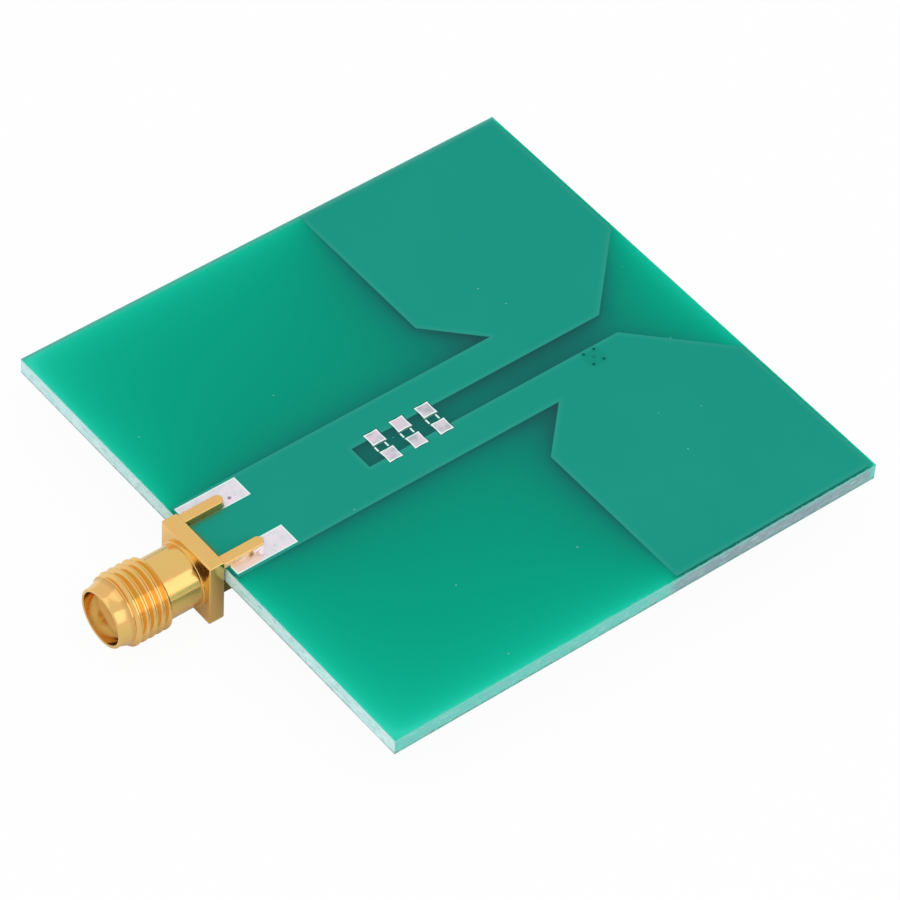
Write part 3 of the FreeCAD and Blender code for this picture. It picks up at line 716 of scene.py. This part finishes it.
class DIPOLE_OT_foils(Operator):
    """Copper foils, with a painted dark green shade on their flat faces, which show where a pad's gap bares
    them, and the plated holes
    """

    bl_idname = "dipole.foils"
    bl_label = "Copper"

    def execute(self, context):
        finish = Finish("Copper foil", Metallic=1.0, Roughness=0.35)
        finish.cloud(3.0, tone(190, 110, 80), tone(214, 140, 104))
        # Painted shade: the foils' flat faces are laid dark green and not metal, as the gap round a pad shows
        # them.
        normal = finish.node("ShaderNodeNewGeometry").outputs["True Normal"]
        level = finish.maths("ABSOLUTE", finish.node("ShaderNodeSeparateXYZ", {0: normal}).outputs["Z"])
        level_shade = finish.maths("GREATER_THAN", level, 0.5)
        finish.lay(tone(26, 84, 74), level_shade)
        finish.shade(Metallic=finish.maths("SUBTRACT", 1.0, level_shade))
        names = ["dipole_foil", "feed_foil", "lower_ground_foil_left", "lower_ground_foil_right"]
        for node in names + ["crossover_vias"]:
            coat(NODES[node].data, finish.material)
        return {"FINISHED"}


def tin_finish(name, stops):
    """Levelled tin: a satin, clouded grey inside a rim laid with a painted bright highlight."""
    finish = Finish(name, Roughness=0.38)
    finish.lay(finish.ramp(finish.noise(0.9), stops))
    finish.lay(tone(184, 184, 190), finish.blotches(0.4, 0.6, 0.72, 0.25))
    across, along = finish.axis("X"), finish.axis("Y")
    # A peach patch on the right pads just outside the right leg's outer wall.
    peach_patch = finish.times(finish.span(across, 3.0, 3.3, 0.0, 0.65), finish.span(along, 12.9, 12.3))
    finish.lay(tone(255, 214, 188), peach_patch)
    # The rim's mint white is a painted highlight, and the rim is not metal.
    rim = finish.span(finish.painted("rim"), 0.3, 0.6)
    finish.lay(tone(232, 255, 250), rim)
    # Painted olive shade along the left pads' inner edge, under the left leg.
    inner = finish.times(finish.span(across, -2.28, -2.16), finish.span(across, 0.0, -1.0))
    inner = finish.times(inner, finish.span(along, 13.5, 13.0, 0.0, 0.95))
    finish.lay(tone(96, 126, 58), inner)
    finish.shade(Metallic=finish.span(rim, 0.0, 1.0, 0.45, 0.0))
    finish.bump(finish.noise(0.5, detail=2.0), 0.25, 0.01)
    return finish.material


def pad_skin(node, up, rim_width):
    """A copy of a tinned pad with a rim round its face, marked for a painted bright highlight."""
    bm = joined_copy(node)
    layer = bm.verts.layers.float.new("rim")
    low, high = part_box(node)
    top = high.z if up > 0 else low.z
    level = [face for face in bm.faces if face.normal.z * up > 0.9]
    flat = [face for face in level if abs(face.verts[0].co.z - top) < HAIR]
    bmesh.ops.inset_region(bm, faces=flat, thickness=rim_width, use_boundary=True, use_even_offset=True)
    inner = {vertex for face in flat for vertex in face.verts}
    for vertex in set(bm.verts) - inner:
        beside = min(vertex.co.x - low.x, high.x - vertex.co.x, vertex.co.y - low.y, high.y - vertex.co.y)
        vertex[layer] = float(beside < rim_width / 2)
    return mesh_from(node + "_tin", bm)


def chip_pad_tree():
    """Geometry nodes for the footprints: rows of paired pads, each a low pillow with a rim marked for a
    painted highlight.
    """
    sizes = ("Width", "Length", "Thickness", "Crown", "Pinch", "Row pitch", "Pair spread", "Start")
    add, given, result = new_tree("Chip pads", Float=sizes, Int=("Rows",), Material=("Finish",))

    steps = 25
    size = add.vector(given["Width"], given["Length"], given["Thickness"])
    slab = add.node("GeometryNodeMeshCube", {"Size": size})
    for axis, count in zip("XYZ", (steps, steps, 2)):
        slab.inputs["Vertices " + axis].default_value = count
    parts = add.node("ShaderNodeSeparateXYZ", {0: add.given("GeometryNodeInputPosition")}).outputs
    across = add.maths("DIVIDE", add.maths("ABSOLUTE", parts["X"]), add.times(given["Width"], 0.5))
    along = add.maths("DIVIDE", add.maths("ABSOLUTE", parts["Y"]), add.times(given["Length"], 0.5))
    outward = add.maths("MAXIMUM", across, along)
    rim = add.maths("SMOOTH_MIN", add.times(add.maths("SUBTRACT", outward, 0.74), 5.5), 1.0, 0.2)
    rim = add.maths("MAXIMUM", rim, 0.0)
    stored = {"Geometry": slab.outputs["Mesh"], "Name": "rim", "Value": rim}
    marked = add.given("GeometryNodeStoreNamedAttribute", stored)
    waist = add.times(add.maths("SUBTRACT", 1.0, add.times(across, along)), given["Pinch"])
    pinch = add.maths("SUBTRACT", 1.0, add.times(waist, add.maths("POWER", outward, 6.0)))
    dome = add.times(add.maths("SUBTRACT", 1.0, add.maths("POWER", outward, 4.0)), given["Crown"])
    above = add.maths("GREATER_THAN", parts["Z"], 0.0)
    height = add.maths("ADD", parts["Z"], add.times(dome, above))
    moved = add.vector(add.times(parts["X"], pinch), add.times(parts["Y"], pinch), height)
    pillow = add.given("GeometryNodeSetPosition", {"Geometry": marked, "Position": moved})

    start = add.vector(given["Pair spread"], given["Start"], 0.0)
    shift = add.vector(0.0, given["Row pitch"], 0.0)
    row = {"Count": given["Rows"], "Start Location": start, "Offset": shift}
    line = add.given("GeometryNodeMeshLine", row)
    places = add.node("GeometryNodeJoinGeometry")
    add.feed(places.inputs[0], line)
    add.feed(places.inputs[0], add.given("GeometryNodeTransform", {"Geometry": line, "Scale": (-1, 1, 1)}))
    spread = {"Points": places.outputs[0], "Instance": pillow}
    copies = add.given("GeometryNodeInstanceOnPoints", spread)
    real = add.given("GeometryNodeRealizeInstances", {0: copies})
    dressed = add.given("GeometryNodeSetMaterial", {"Geometry": real, "Material": given["Finish"]})
    add.feed(result, dressed)
    return add.tree


class DIPOLE_OT_pads(Operator):
    """Tinned pads and the white printing between the chip pads"""

    bl_idname = "dipole.pads"
    bl_label = "Tinned pads and printing"

    def execute(self, context):
        settings = context.scene.dipole_board
        ground_clouds = [(0.34, tone(221, 220, 229)), (0.5, tone(232, 230, 237)), (0.68, tone(244, 230, 241))]
        ground_tin = tin_finish("Levelled tin", ground_clouds)
        grounds = [f"{level}_ground_pad_{side}" for level in ("upper", "lower") for side in ("left", "right")]
        for node in grounds + ["feed_pad"]:
            mesh = pad_skin(node, 1 if node.startswith("upper") else -1, settings.tin_rim_highlight)
            dress(node, "_tin", mesh, ground_tin, "tin")

        chip_clouds = [(0.34, tone(184, 190, 196)), (0.48, tone(212, 207, 216))]
        chip_clouds += [(0.58, tone(224, 214, 224)), (0.7, tone(246, 202, 222))]
        rights = sorted(node for node in NODES if node.startswith("chip_pad_") and node.endswith("_right"))
        lefts = [node.replace("_right", "_left") for node in rights]
        boxes = [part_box(node) for node in rights]
        low, high = boxes[0]
        values = {
            "Width": high.x - low.x,
            "Length": high.y - low.y,
            "Thickness": high.z - low.z,
            "Crown": settings.pad_crown,
            "Pinch": settings.pad_pinch,
            "Row pitch": boxes[1][0].y - low.y,
            "Pair spread": (low.x + high.x) / 2,
            "Start": (low.y + high.y) / 2,
            "Rows": len(rights),
            "Finish": tin_finish("Levelled tin, chips", chip_clouds),
        }
        piece = grow("chip_pads", chip_pad_tree(), values)
        piece.data.transform(Matrix.Translation((0, 0, (low.z + high.z) / 2)))
        smooth(piece.data, 50)
        settle(piece, *lefts, *rights, slot="tin")

        plating = Finish("Tinned hole", Roughness=0.5)
        plating.cloud(0.3, tone(240, 228, 244), tone(253, 246, 255))
        coat(NODES["ground_via"].data, plating.material)
        ink = Finish("White printing", Roughness=0.7)
        ink.cloud(0.2, tone(205, 246, 232), tone(236, 255, 250))
        coat(NODES["chip_print"].data, ink.material)
        return {"FINISHED"}


# Jack


# Places along its axis, counted from the mouth
LEAD_END, THREAD_END = 1.3 * MM, 4.75 * MM
COLLAR_START, FLANGE_FRONT, FLANGE_BACK = 7.75 * MM, 8.05 * MM, 9.5 * MM
MOUTH_FLOOR, LEG_TIP = 1.98 * MM, 13.5 * MM

# Radii and half widths about its axis
MOUTH, BORE, NECK, COLLAR, NOSE = 2.3 * MM, 2.05 * MM, 2.66 * MM, 2.86 * MM, 2.58 * MM
HALF_FLANGE = 3.175 * MM
LEG_HALF, LEG_MIDDLE, LEG_SIDES = 0.475 * MM, 2.65 * MM, 16


def gold_finish(settings):
    """Gold plate over turned and milled brass, with fine marks of the tool."""
    finish = Finish("Gold plate", Metallic=1.0)
    gold = tuple(settings.gold)
    rosy = (gold[0] * 1.03, gold[1] * 0.96, gold[2] * 1.02, 1.0)
    pale = (gold[0] * 0.97, gold[1] * 1.03, gold[2] * 0.98, 1.0)
    finish.lay(finish.blend(finish.blotches(1.8, 0.35, 0.65), rosy, pale))
    stains = finish.blotches(0.5, 0.62, 0.76, 0.35, detail=5.0, roughness=0.7)
    finish.lay((gold[0] * 0.7, gold[1] * 0.62, gold[2] * 0.55, 1.0), stains)
    sheared, wetted_highlight, under_board_shade = (finish.painted(name) for name in ("sheared", "wetted_highlight", "under_board_shade"))
    # The right leg's upper outer wall is wet with solder, and is laid a brighter, less metallic peach as a
    # painted highlight.
    wet_highlight_clouds = [(0.35, tone(255, 206, 138)), (0.6, tone(255, 226, 172))]
    finish.lay(finish.ramp(finish.noise(0.35), wet_highlight_clouds), finish.times(wetted_highlight, 0.95))
    # Painted dark olive shade on the lower legs' walls, under the board.
    finish.lay(tone(66, 78, 42), finish.times(under_board_shade, 0.8))
    along = finish.axis("Y")
    # Painted shade on the cone just before the first turn of the thread.
    crease_shade = finish.times(finish.span(along, 0.9, 1.15), finish.span(along, 1.36, 1.3, 0.0, 0.4))
    finish.lay((gold[0] * 0.62, gold[1] * 0.56, gold[2] * 0.42, 1.0), crease_shade)
    finish.shade(Metallic=finish.maths("MULTIPLY_ADD", wetted_highlight, -0.75, 1.0))
    satin = finish.span(finish.noise(1.2, detail=4.0), 0.3, 0.7, 0.12, 0.2)
    finish.shade(Roughness=finish.maths("MAXIMUM", satin, finish.times(sheared, 0.42)))
    rings = finish.noise(0.22, detail=2.0, stretch=(0.05, 1, 0.05))
    finish.bump(finish.maths("ADD", finish.times(rings, 0.35), finish.noise(0.9, detail=2.0)), 0.12, 0.02)
    return finish.material


def ring_of(bm, along, radius, segments):
    """A circle of corners about the jack's axis."""
    angles = [2 * math.pi * step / segments for step in range(segments)]
    return [bm.verts.new((radius * math.cos(angle), along, radius * math.sin(angle))) for angle in angles]


def band(bm, near, far):
    """Faces all round between two rings of corners."""
    for number in range(len(near)):
        after = (number + 1) % len(near)
        bm.faces.new((near[number], near[after], far[after], far[number]))


def turned(profile, segments):
    """A closed ring of the given (distance along +Y, radius) outline, turned about the Y axis."""
    bm = bmesh.new()
    rings = [ring_of(bm, along, radius, segments) for along, radius in profile]
    for near, far in zip(rings, rings[1:] + rings[:1]):
        band(bm, near, far)
    bmesh.ops.recalc_face_normals(bm, faces=bm.faces)
    return bm


def solid_rod(radius, near, far, segments):
    """A rod along the jack's axis."""
    bm = bmesh.new()
    rings = [ring_of(bm, along, radius, segments) for along in (near, far)]
    band(bm, *rings)
    for ring in rings:
        bm.faces.new(ring)
    bmesh.ops.recalc_face_normals(bm, faces=bm.faces)
    return bm


def thread_tree():
    """Geometry nodes that sweep the groove of a screw thread along a helix about +Z."""
    sizes = ("Pitch", "Turns", "Radius", "Depth", "Floor", "Land", "Start")
    add, given, result = new_tree("Thread groove", Float=sizes)

    root = add.maths("SUBTRACT", given["Radius"], given["Depth"])
    course = {"Resolution": 192, "Rotations": given["Turns"], "Start Radius": root, "End Radius": root}
    course["Height"] = add.times(given["Turns"], given["Pitch"])
    spiral = add.given("GeometryNodeCurveSpiral", course)
    upright = add.given("GeometryNodeSetCurveNormal", {"Curve": spiral}, mode="Z_UP")

    # The outline reaches past the crest, so that it cuts the thread's face cleanly
    past = 1.25
    mouth = add.maths("SUBTRACT", add.maths("SUBTRACT", given["Pitch"], given["Land"]), given["Floor"])
    half_floor = add.times(given["Floor"], 0.5)
    half_mouth = add.maths("ADD", half_floor, add.times(mouth, 0.5 * past))
    outward = add.times(given["Depth"], -past)
    outline = add.node("GeometryNodeCurvePrimitiveQuadrilateral", mode="POINTS")
    corners = [(0.0, half_floor, 1), (outward, half_mouth, 1)]
    corners += [(outward, half_mouth, -1), (0.0, half_floor, -1)]
    for number, (out, aside, sign) in enumerate(corners, start=1):
        add.feed(outline.inputs[f"Point {number}"], add.vector(out, add.times(aside, sign), 0.0))

    paths = {"Curve": upright, "Profile Curve": outline.outputs["Curve"], "Fill Caps": True}
    sweep = add.given("GeometryNodeCurveToMesh", paths)
    shift = add.vector(0.0, 0.0, given["Start"])
    add.feed(result, add.given("GeometryNodeTransform", {"Geometry": sweep, "Translation": shift}))
    return add.tree


def groove_cutter(settings, start, end):
    """The thread's groove as a solid about the jack's axis, from before the thread to past it."""
    values = {
        "Pitch": settings.thread_pitch,
        "Turns": (end - start) / settings.thread_pitch,
        "Radius": settings.thread_radius,
        "Depth": settings.thread_depth,
        "Floor": settings.thread_floor,
        "Land": settings.thread_land,
        "Start": start,
    }
    groove = grow("thread_groove", thread_tree(), values)
    groove.data.transform(Matrix.Rotation(math.radians(-90), 4, "X"))
    return groove


def block(bm, corners, low, high):
    """Add a prism over corners given across and along, between two heights."""
    bottom = [bm.verts.new((x, y, low)) for x, y in corners]
    top = [bm.verts.new((x, y, high)) for x, y in corners]
    bm.faces.new(bottom[::-1])
    bm.faces.new(top)
    band(bm, bottom, top)


def combine(piece, other, operation):
    modifier = piece.modifiers.new(operation.title(), "BOOLEAN")
    modifier.object = other
    modifier.operation = operation
    modifier.solver = "EXACT"
    name = piece.name
    result = evaluated(piece, name + "_made")
    bpy.data.objects.remove(other)
    result.name = name
    return result


def rounded(bm, name, width, segments=3):
    """A piece whose edges are rounded, from a bmesh."""
    piece = new_piece(name, mesh_from(name, bm))
    bevel = piece.modifiers.new("Round", "BEVEL")
    bevel.width = width
    bevel.segments = segments
    bevel.limit_method = "ANGLE"
    bevel.angle_limit = math.radians(40)
    return evaluated(piece, name)


def leg_corners(side):
    """A leg from above, anticlockwise, from inside the flange to its round tip."""
    centre, near, shoulder = side * LEG_MIDDLE, FLANGE_BACK - 0.3 * MM, LEG_TIP - LEG_HALF
    corners = [(centre - LEG_HALF, near), (centre + LEG_HALF, near)]
    for step in range(LEG_SIDES + 1):
        angle = math.pi * step / LEG_SIDES
        corners.append((centre + LEG_HALF * math.cos(angle), shoulder + LEG_HALF * math.sin(angle)))
    return corners


def barrel_outline(thread):
    """Outline of the barrel, as (distance from the mouth, radius), out along it and back inside."""
    step, relief = 0.005 * MM, 0.2 * MM
    nose = [(0.0, 2.33 * MM), (0.0, 2.49 * MM), (0.03 * MM, 2.55 * MM), (0.10 * MM, NOSE), (0.45 * MM, NOSE)]
    lead = [(LEAD_END, COLLAR), (LEAD_END + step, thread - relief), (LEAD_END + relief, thread)]
    neck = [(THREAD_END - relief, thread), (THREAD_END - step, thread - relief), (THREAD_END, NECK)]
    collar = [(COLLAR_START, NECK), (COLLAR_START + 0.01 * MM, 2.80 * MM), (COLLAR_START + 0.06 * MM, COLLAR)]
    root = [(FLANGE_FRONT + 0.05 * MM, COLLAR), (FLANGE_BACK - 0.1 * MM, 2.4 * MM)]
    inside = [(FLANGE_BACK - 0.1 * MM, BORE), (MOUTH_FLOOR, BORE), (MOUTH_FLOOR, MOUTH), (0.03 * MM, MOUTH)]
    return nose + lead + neck + collar + root + inside


def barrel_piece(settings):
    """Mouth, lead, thread and neck."""
    outline = turned(barrel_outline(settings.thread_radius), settings.segments)
    barrel = new_piece("jack_barrel", mesh_from("jack_barrel", outline))
    return combine(barrel, groove_cutter(settings, 0.62 * MM, 5.3 * MM), "DIFFERENCE")


def flange_piece(settings):
    """Square flange with the bore through it."""
    bm = bmesh.new()
    corners = [(-HALF_FLANGE, FLANGE_FRONT), (HALF_FLANGE, FLANGE_FRONT)]
    corners += [(HALF_FLANGE, FLANGE_BACK), (-HALF_FLANGE, FLANGE_BACK)]
    block(bm, corners, -HALF_FLANGE, HALF_FLANGE)
    flange = rounded(bm, "jack_flange", settings.edge_round)
    rod = solid_rod(BORE, FLANGE_FRONT - MM, FLANGE_BACK + MM, settings.segments)
    return combine(flange, new_piece("flange_bore", mesh_from("flange_bore", rod)), "DIFFERENCE")


def mark_leg_walls(mesh):
    """Mark the legs' sheared walls, those wet with solder, which also get a painted highlight, and the lower
    ones under the board, which get a painted shade.
    """
    marks = {"sheared": [], "wetted_highlight": [], "under_board_shade": []}
    for face in mesh.polygons:
        wall = face.center.y > FLANGE_BACK + 0.1 * MM and abs(face.normal.z) < 0.6
        lower = face.center.z < BOARD_LOW.z
        marks["sheared"].append(float(wall))
        marks["wetted_highlight"].append(float(wall and not lower and face.center.x > 2.8 * MM and face.normal.x > 0.2))
        marks["under_board_shade"].append(float(wall and lower))
    for name, values in marks.items():
        paint(mesh, name, values, "FACE")


class DIPOLE_OT_jack_shell(Operator):
    """Gold-plated shell of the jack: mouth, thread, neck, flange and four legs"""

    bl_idname = "dipole.jack_shell"
    bl_label = "Jack shell"

    def execute(self, context):
        settings = context.scene.dipole_jack
        shell = combine(barrel_piece(settings), flange_piece(settings), "UNION")
        heights = {"upper": (2.355 * MM, settings.leg_top), "lower": (-0.395 * MM, 0.675 * MM)}
        for name, (low, high) in heights.items():
            for side in (-1, 1):
                leg = bmesh.new()
                block(leg, leg_corners(side), low, high)
                leg = rounded(leg, f"leg_{name}_{side}", settings.edge_round * 0.7)
                shell = combine(shell, leg, "UNION")
        smooth(shell.data, 34)
        mark_leg_walls(shell.data)
        coat(shell.data, gold_finish(settings))
        shell.name = "jack_shell_plated"
        settle(shell, "jack_shell", slot="gold_plate")
        return {"FINISHED"}


class DIPOLE_OT_jack_core(Operator):
    """White insulator and the slit centre contact"""

    bl_idname = "dipole.jack_core"
    bl_label = "Insulator and contact"

    def execute(self, context):
        # The faint glow stands in for light that the white plastic carries inside
        white = Finish("White insulator", Roughness=0.5)
        cloudy = white.ramp(white.noise(1.0), [(0.3, tone(244, 240, 230)), (0.7, tone(252, 249, 243))])
        white.shade(Base_Color=cloudy, Emission_Color=cloudy, Emission_Strength=0.15)
        smooth_node("jack_insulator", white.material, "insulator")
        smooth_node("jack_contact", gold_finish(context.scene.dipole_jack), "gold_plate")
        return {"FINISHED"}


class DIPOLE_OT_solder(Operator):
    """Solder on the legs and on the pin"""

    bl_idname = "dipole.solder"
    bl_label = "Solder"

    def execute(self, context):
        finish = Finish("Solder", Metallic=0.7, Roughness=0.3)
        waves = finish.noise(0.5)
        clouds = [(0.3, tone(250, 200, 156)), (0.55, tone(255, 222, 180)), (0.75, tone(255, 234, 226))]
        finish.lay(finish.ramp(waves, clouds))
        streaks = finish.blotches(0.3, 0.57, 0.66, 0.75, roughness=0.6, stretch=(1, 3.5, 1))
        finish.lay(tone(150, 92, 52), streaks)
        # A dark brown spot on the right fillet, near the leg's tip.
        dark_spot = finish.near([(3.35 * MM, 12.0 * MM)], 0.34, 0.16)
        finish.lay(tone(138, 86, 30), finish.times(dark_spot, 0.75))
        # Painted highlight: the bead at the leg's tip is laid whitish pink and made less metallic.
        tip = finish.span(finish.axis("Y"), 12.2, 12.6, 0.0, 0.9)
        finish.lay(finish.ramp(waves, [(0.35, tone(246, 220, 226)), (0.5, tone(255, 248, 255))]), tip)
        # Painted olive shade on all solder left of x = 2.2 mm: the inner sides of the right fillets, the left
        # fillets and the pin's solder.
        inner = finish.span(finish.axis("X"), 2.4, 2.2)
        finish.lay(tone(78, 104, 34), finish.times(inner, 0.92))
        dulled = finish.maths("MAXIMUM", tip, inner)
        finish.shade(Metallic=finish.maths("MULTIPLY_ADD", dulled, -0.5, 0.7))
        finish.bump(waves, 0.5, 0.03)
        for place in ("upper_left", "upper_right", "lower_left", "lower_right", "feed"):
            smooth_node("solder_" + place, finish.material, "solder")
        return {"FINISHED"}


# Stage


def direction(azimuth, elevation):
    """The way from the part to a place in the studio."""
    turn, rise = math.radians(azimuth), math.radians(elevation)
    return Vector((math.cos(turn) * math.cos(rise), math.sin(turn) * math.cos(rise), math.sin(rise)))


def soft_box(name, way, size, radiance, colour=(1, 1, 1)):
    """A large soft light in a direction from the part, as bright as the given radiance."""
    light = bpy.data.lights.new(name, "AREA")
    light.shape = "RECTANGLE"
    light.size, light.size_y = size
    light.energy = radiance * math.pi * size[0] * size[1]
    light.color = colour
    lamp = bpy.data.objects.new(name, light)
    lamp.location = Vector((0, 0.025, 0)) + way * 0.8
    lamp.rotation_euler = (-way).to_track_quat("-Z", "Y").to_euler()
    bpy.context.scene.collection.objects.link(lamp)


def card(name, width, height, place):
    """A flat rectangle, moved to its place."""
    bm = bmesh.new()
    bmesh.ops.create_grid(bm, x_segments=1, y_segments=1, size=0.5)
    piece = new_piece(name, mesh_from(name, bm))
    piece.data.transform(place @ Matrix.Diagonal((width, height, 1, 1)))
    return piece


def dark_flag(name, way, size):
    """A dark card in a direction from the part, seen only where metal mirrors metal."""
    spin = way.to_track_quat("Z", "Y").to_matrix().to_4x4()
    flag = card(name, *size, Matrix.Translation(Vector((0, 0.01, 0)) + way * 0.5) @ spin)
    cloth = Finish("Dark cloth", Roughness=1.0, Specular_IOR_Level=0.0)
    cloth.shade(Base_Color=tone(70, 58, 60))
    twice = cloth.maths("GREATER_THAN", cloth.node("ShaderNodeLightPath").outputs["Glossy Depth"], 1.5)
    cloth.mix(twice, cloth.given("ShaderNodeBsdfTransparent"), cloth.shader.outputs[0])
    coat(flag.data, cloth.material)
    flag.visible_camera = flag.visible_diffuse = flag.visible_shadow = False
    return flag


class DIPOLE_OT_stage(Operator):
    """Plain pale floor, soft light all round and the photograph's camera"""

    bl_idname = "dipole.stage"
    bl_label = "Stage"

    def execute(self, context):
        scene = context.scene
        settings = scene.dipole_stage
        floor = card("floor", 6.0, 6.0, Matrix.Translation((0, 0, SHELL_LOW.z - 0.02 * MM)))
        paper = Finish("White paper", Roughness=0.9, Specular_IOR_Level=0.0)
        paper.shade(Base_Color=tone(243, 243, 243))
        rays = paper.node("ShaderNodeLightPath").outputs
        seen = paper.times(rays["Is Camera Ray"], settings.floor_white)
        mirrored = paper.maths("MAXIMUM", rays["Is Glossy Ray"], rays["Is Transmission Ray"])
        # Metal sees a painted shadow on the floor: the share of plain white is small from x = -3 mm
        # rightward, and rises to 0.75 by x = -8 mm.
        plain = paper.span(paper.axis("X"), -3.0, -8.0, settings.floor_mirrored, 0.75)
        share = paper.maths("MULTIPLY_ADD", mirrored, plain, seen)
        glow = paper.given("ShaderNodeEmission", {"Color": (1, 1, 1, 1), "Strength": 1.0})
        paper.mix(share, paper.shader.outputs[0], glow)
        coat(floor.data, paper.material)

        scene.world = bpy.data.worlds.new("Studio")
        scene.world.use_nodes = True
        studio = Wiring(scene.world.node_tree)
        seen = studio.node("ShaderNodeLightPath").outputs["Is Camera Ray"]
        levels = {"Value": seen, "To Min": settings.world_light, "To Max": 1.0}
        back = studio.tree.nodes["Background"].inputs
        studio.feed(back["Color"], (1, 1, 1, 1))
        studio.feed(back["Strength"], studio.given("ShaderNodeMapRange", levels))

        soft_box("right box", direction(25, 32), (0.85, 0.6), settings.right_light, (0.94, 1.0, 1.12))
        soft_box("top box", direction(-110, 72), (0.6, 0.5), settings.top_light)
        dark_flag("dark flag", direction(-35, 30), (0.3, 0.56))

        lens = bpy.data.cameras.new("camera")
        lens.lens, lens.sensor_width = settings.camera_lens, 36.0
        lens.clip_start, lens.clip_end = 0.01, 10.0
        camera = bpy.data.objects.new("camera", lens)
        camera.location, camera.rotation_euler = settings.camera_place, settings.camera_turn
        scene.collection.objects.link(camera)
        scene.camera = camera
        scene.view_settings.view_transform = "Standard"
        return {"FINISHED"}


class DIPOLE_PT_looks(Panel):
    bl_idname = "DIPOLE_PT_looks"
    bl_label = "Dipole looks"
    bl_space_type = "VIEW_3D"
    bl_region_type = "UI"
    bl_category = "Dipole"

    def draw(self, context):
        layout = self.layout
        for group in ("dipole_board", "dipole_jack", "dipole_stage"):
            settings = getattr(context.scene, group)
            box = layout.box()
            for name in settings.__annotations__:
                box.prop(settings, name)
        for operator in OPERATORS:
            layout.operator(operator.bl_idname)


OPERATORS = (
    DIPOLE_OT_masks,
    DIPOLE_OT_laminate,
    DIPOLE_OT_foils,
    DIPOLE_OT_pads,
    DIPOLE_OT_jack_shell,
    DIPOLE_OT_jack_core,
    DIPOLE_OT_solder,
    DIPOLE_OT_stage,
)
GROUPS = {
    "dipole_board": DipoleBoardSettings,
    "dipole_jack": DipoleJackSettings,
    "dipole_stage": DipoleStageSettings,
}
CLASSES = (*GROUPS.values(), *OPERATORS, DIPOLE_PT_looks)


def register():
    for made in CLASSES:
        bpy.utils.register_class(made)
    for name, group in GROUPS.items():
        setattr(bpy.types.Scene, name, PointerProperty(type=group))


def unregister():
    for name in GROUPS:
        delattr(bpy.types.Scene, name)
    for made in reversed(CLASSES):
        bpy.utils.unregister_class(made)


def main():
    register()
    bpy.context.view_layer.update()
    for operator in OPERATORS:
        family, name = operator.bl_idname.split(".")
        getattr(getattr(bpy.ops, family), name)()


if __name__ == "__main__":
    main()
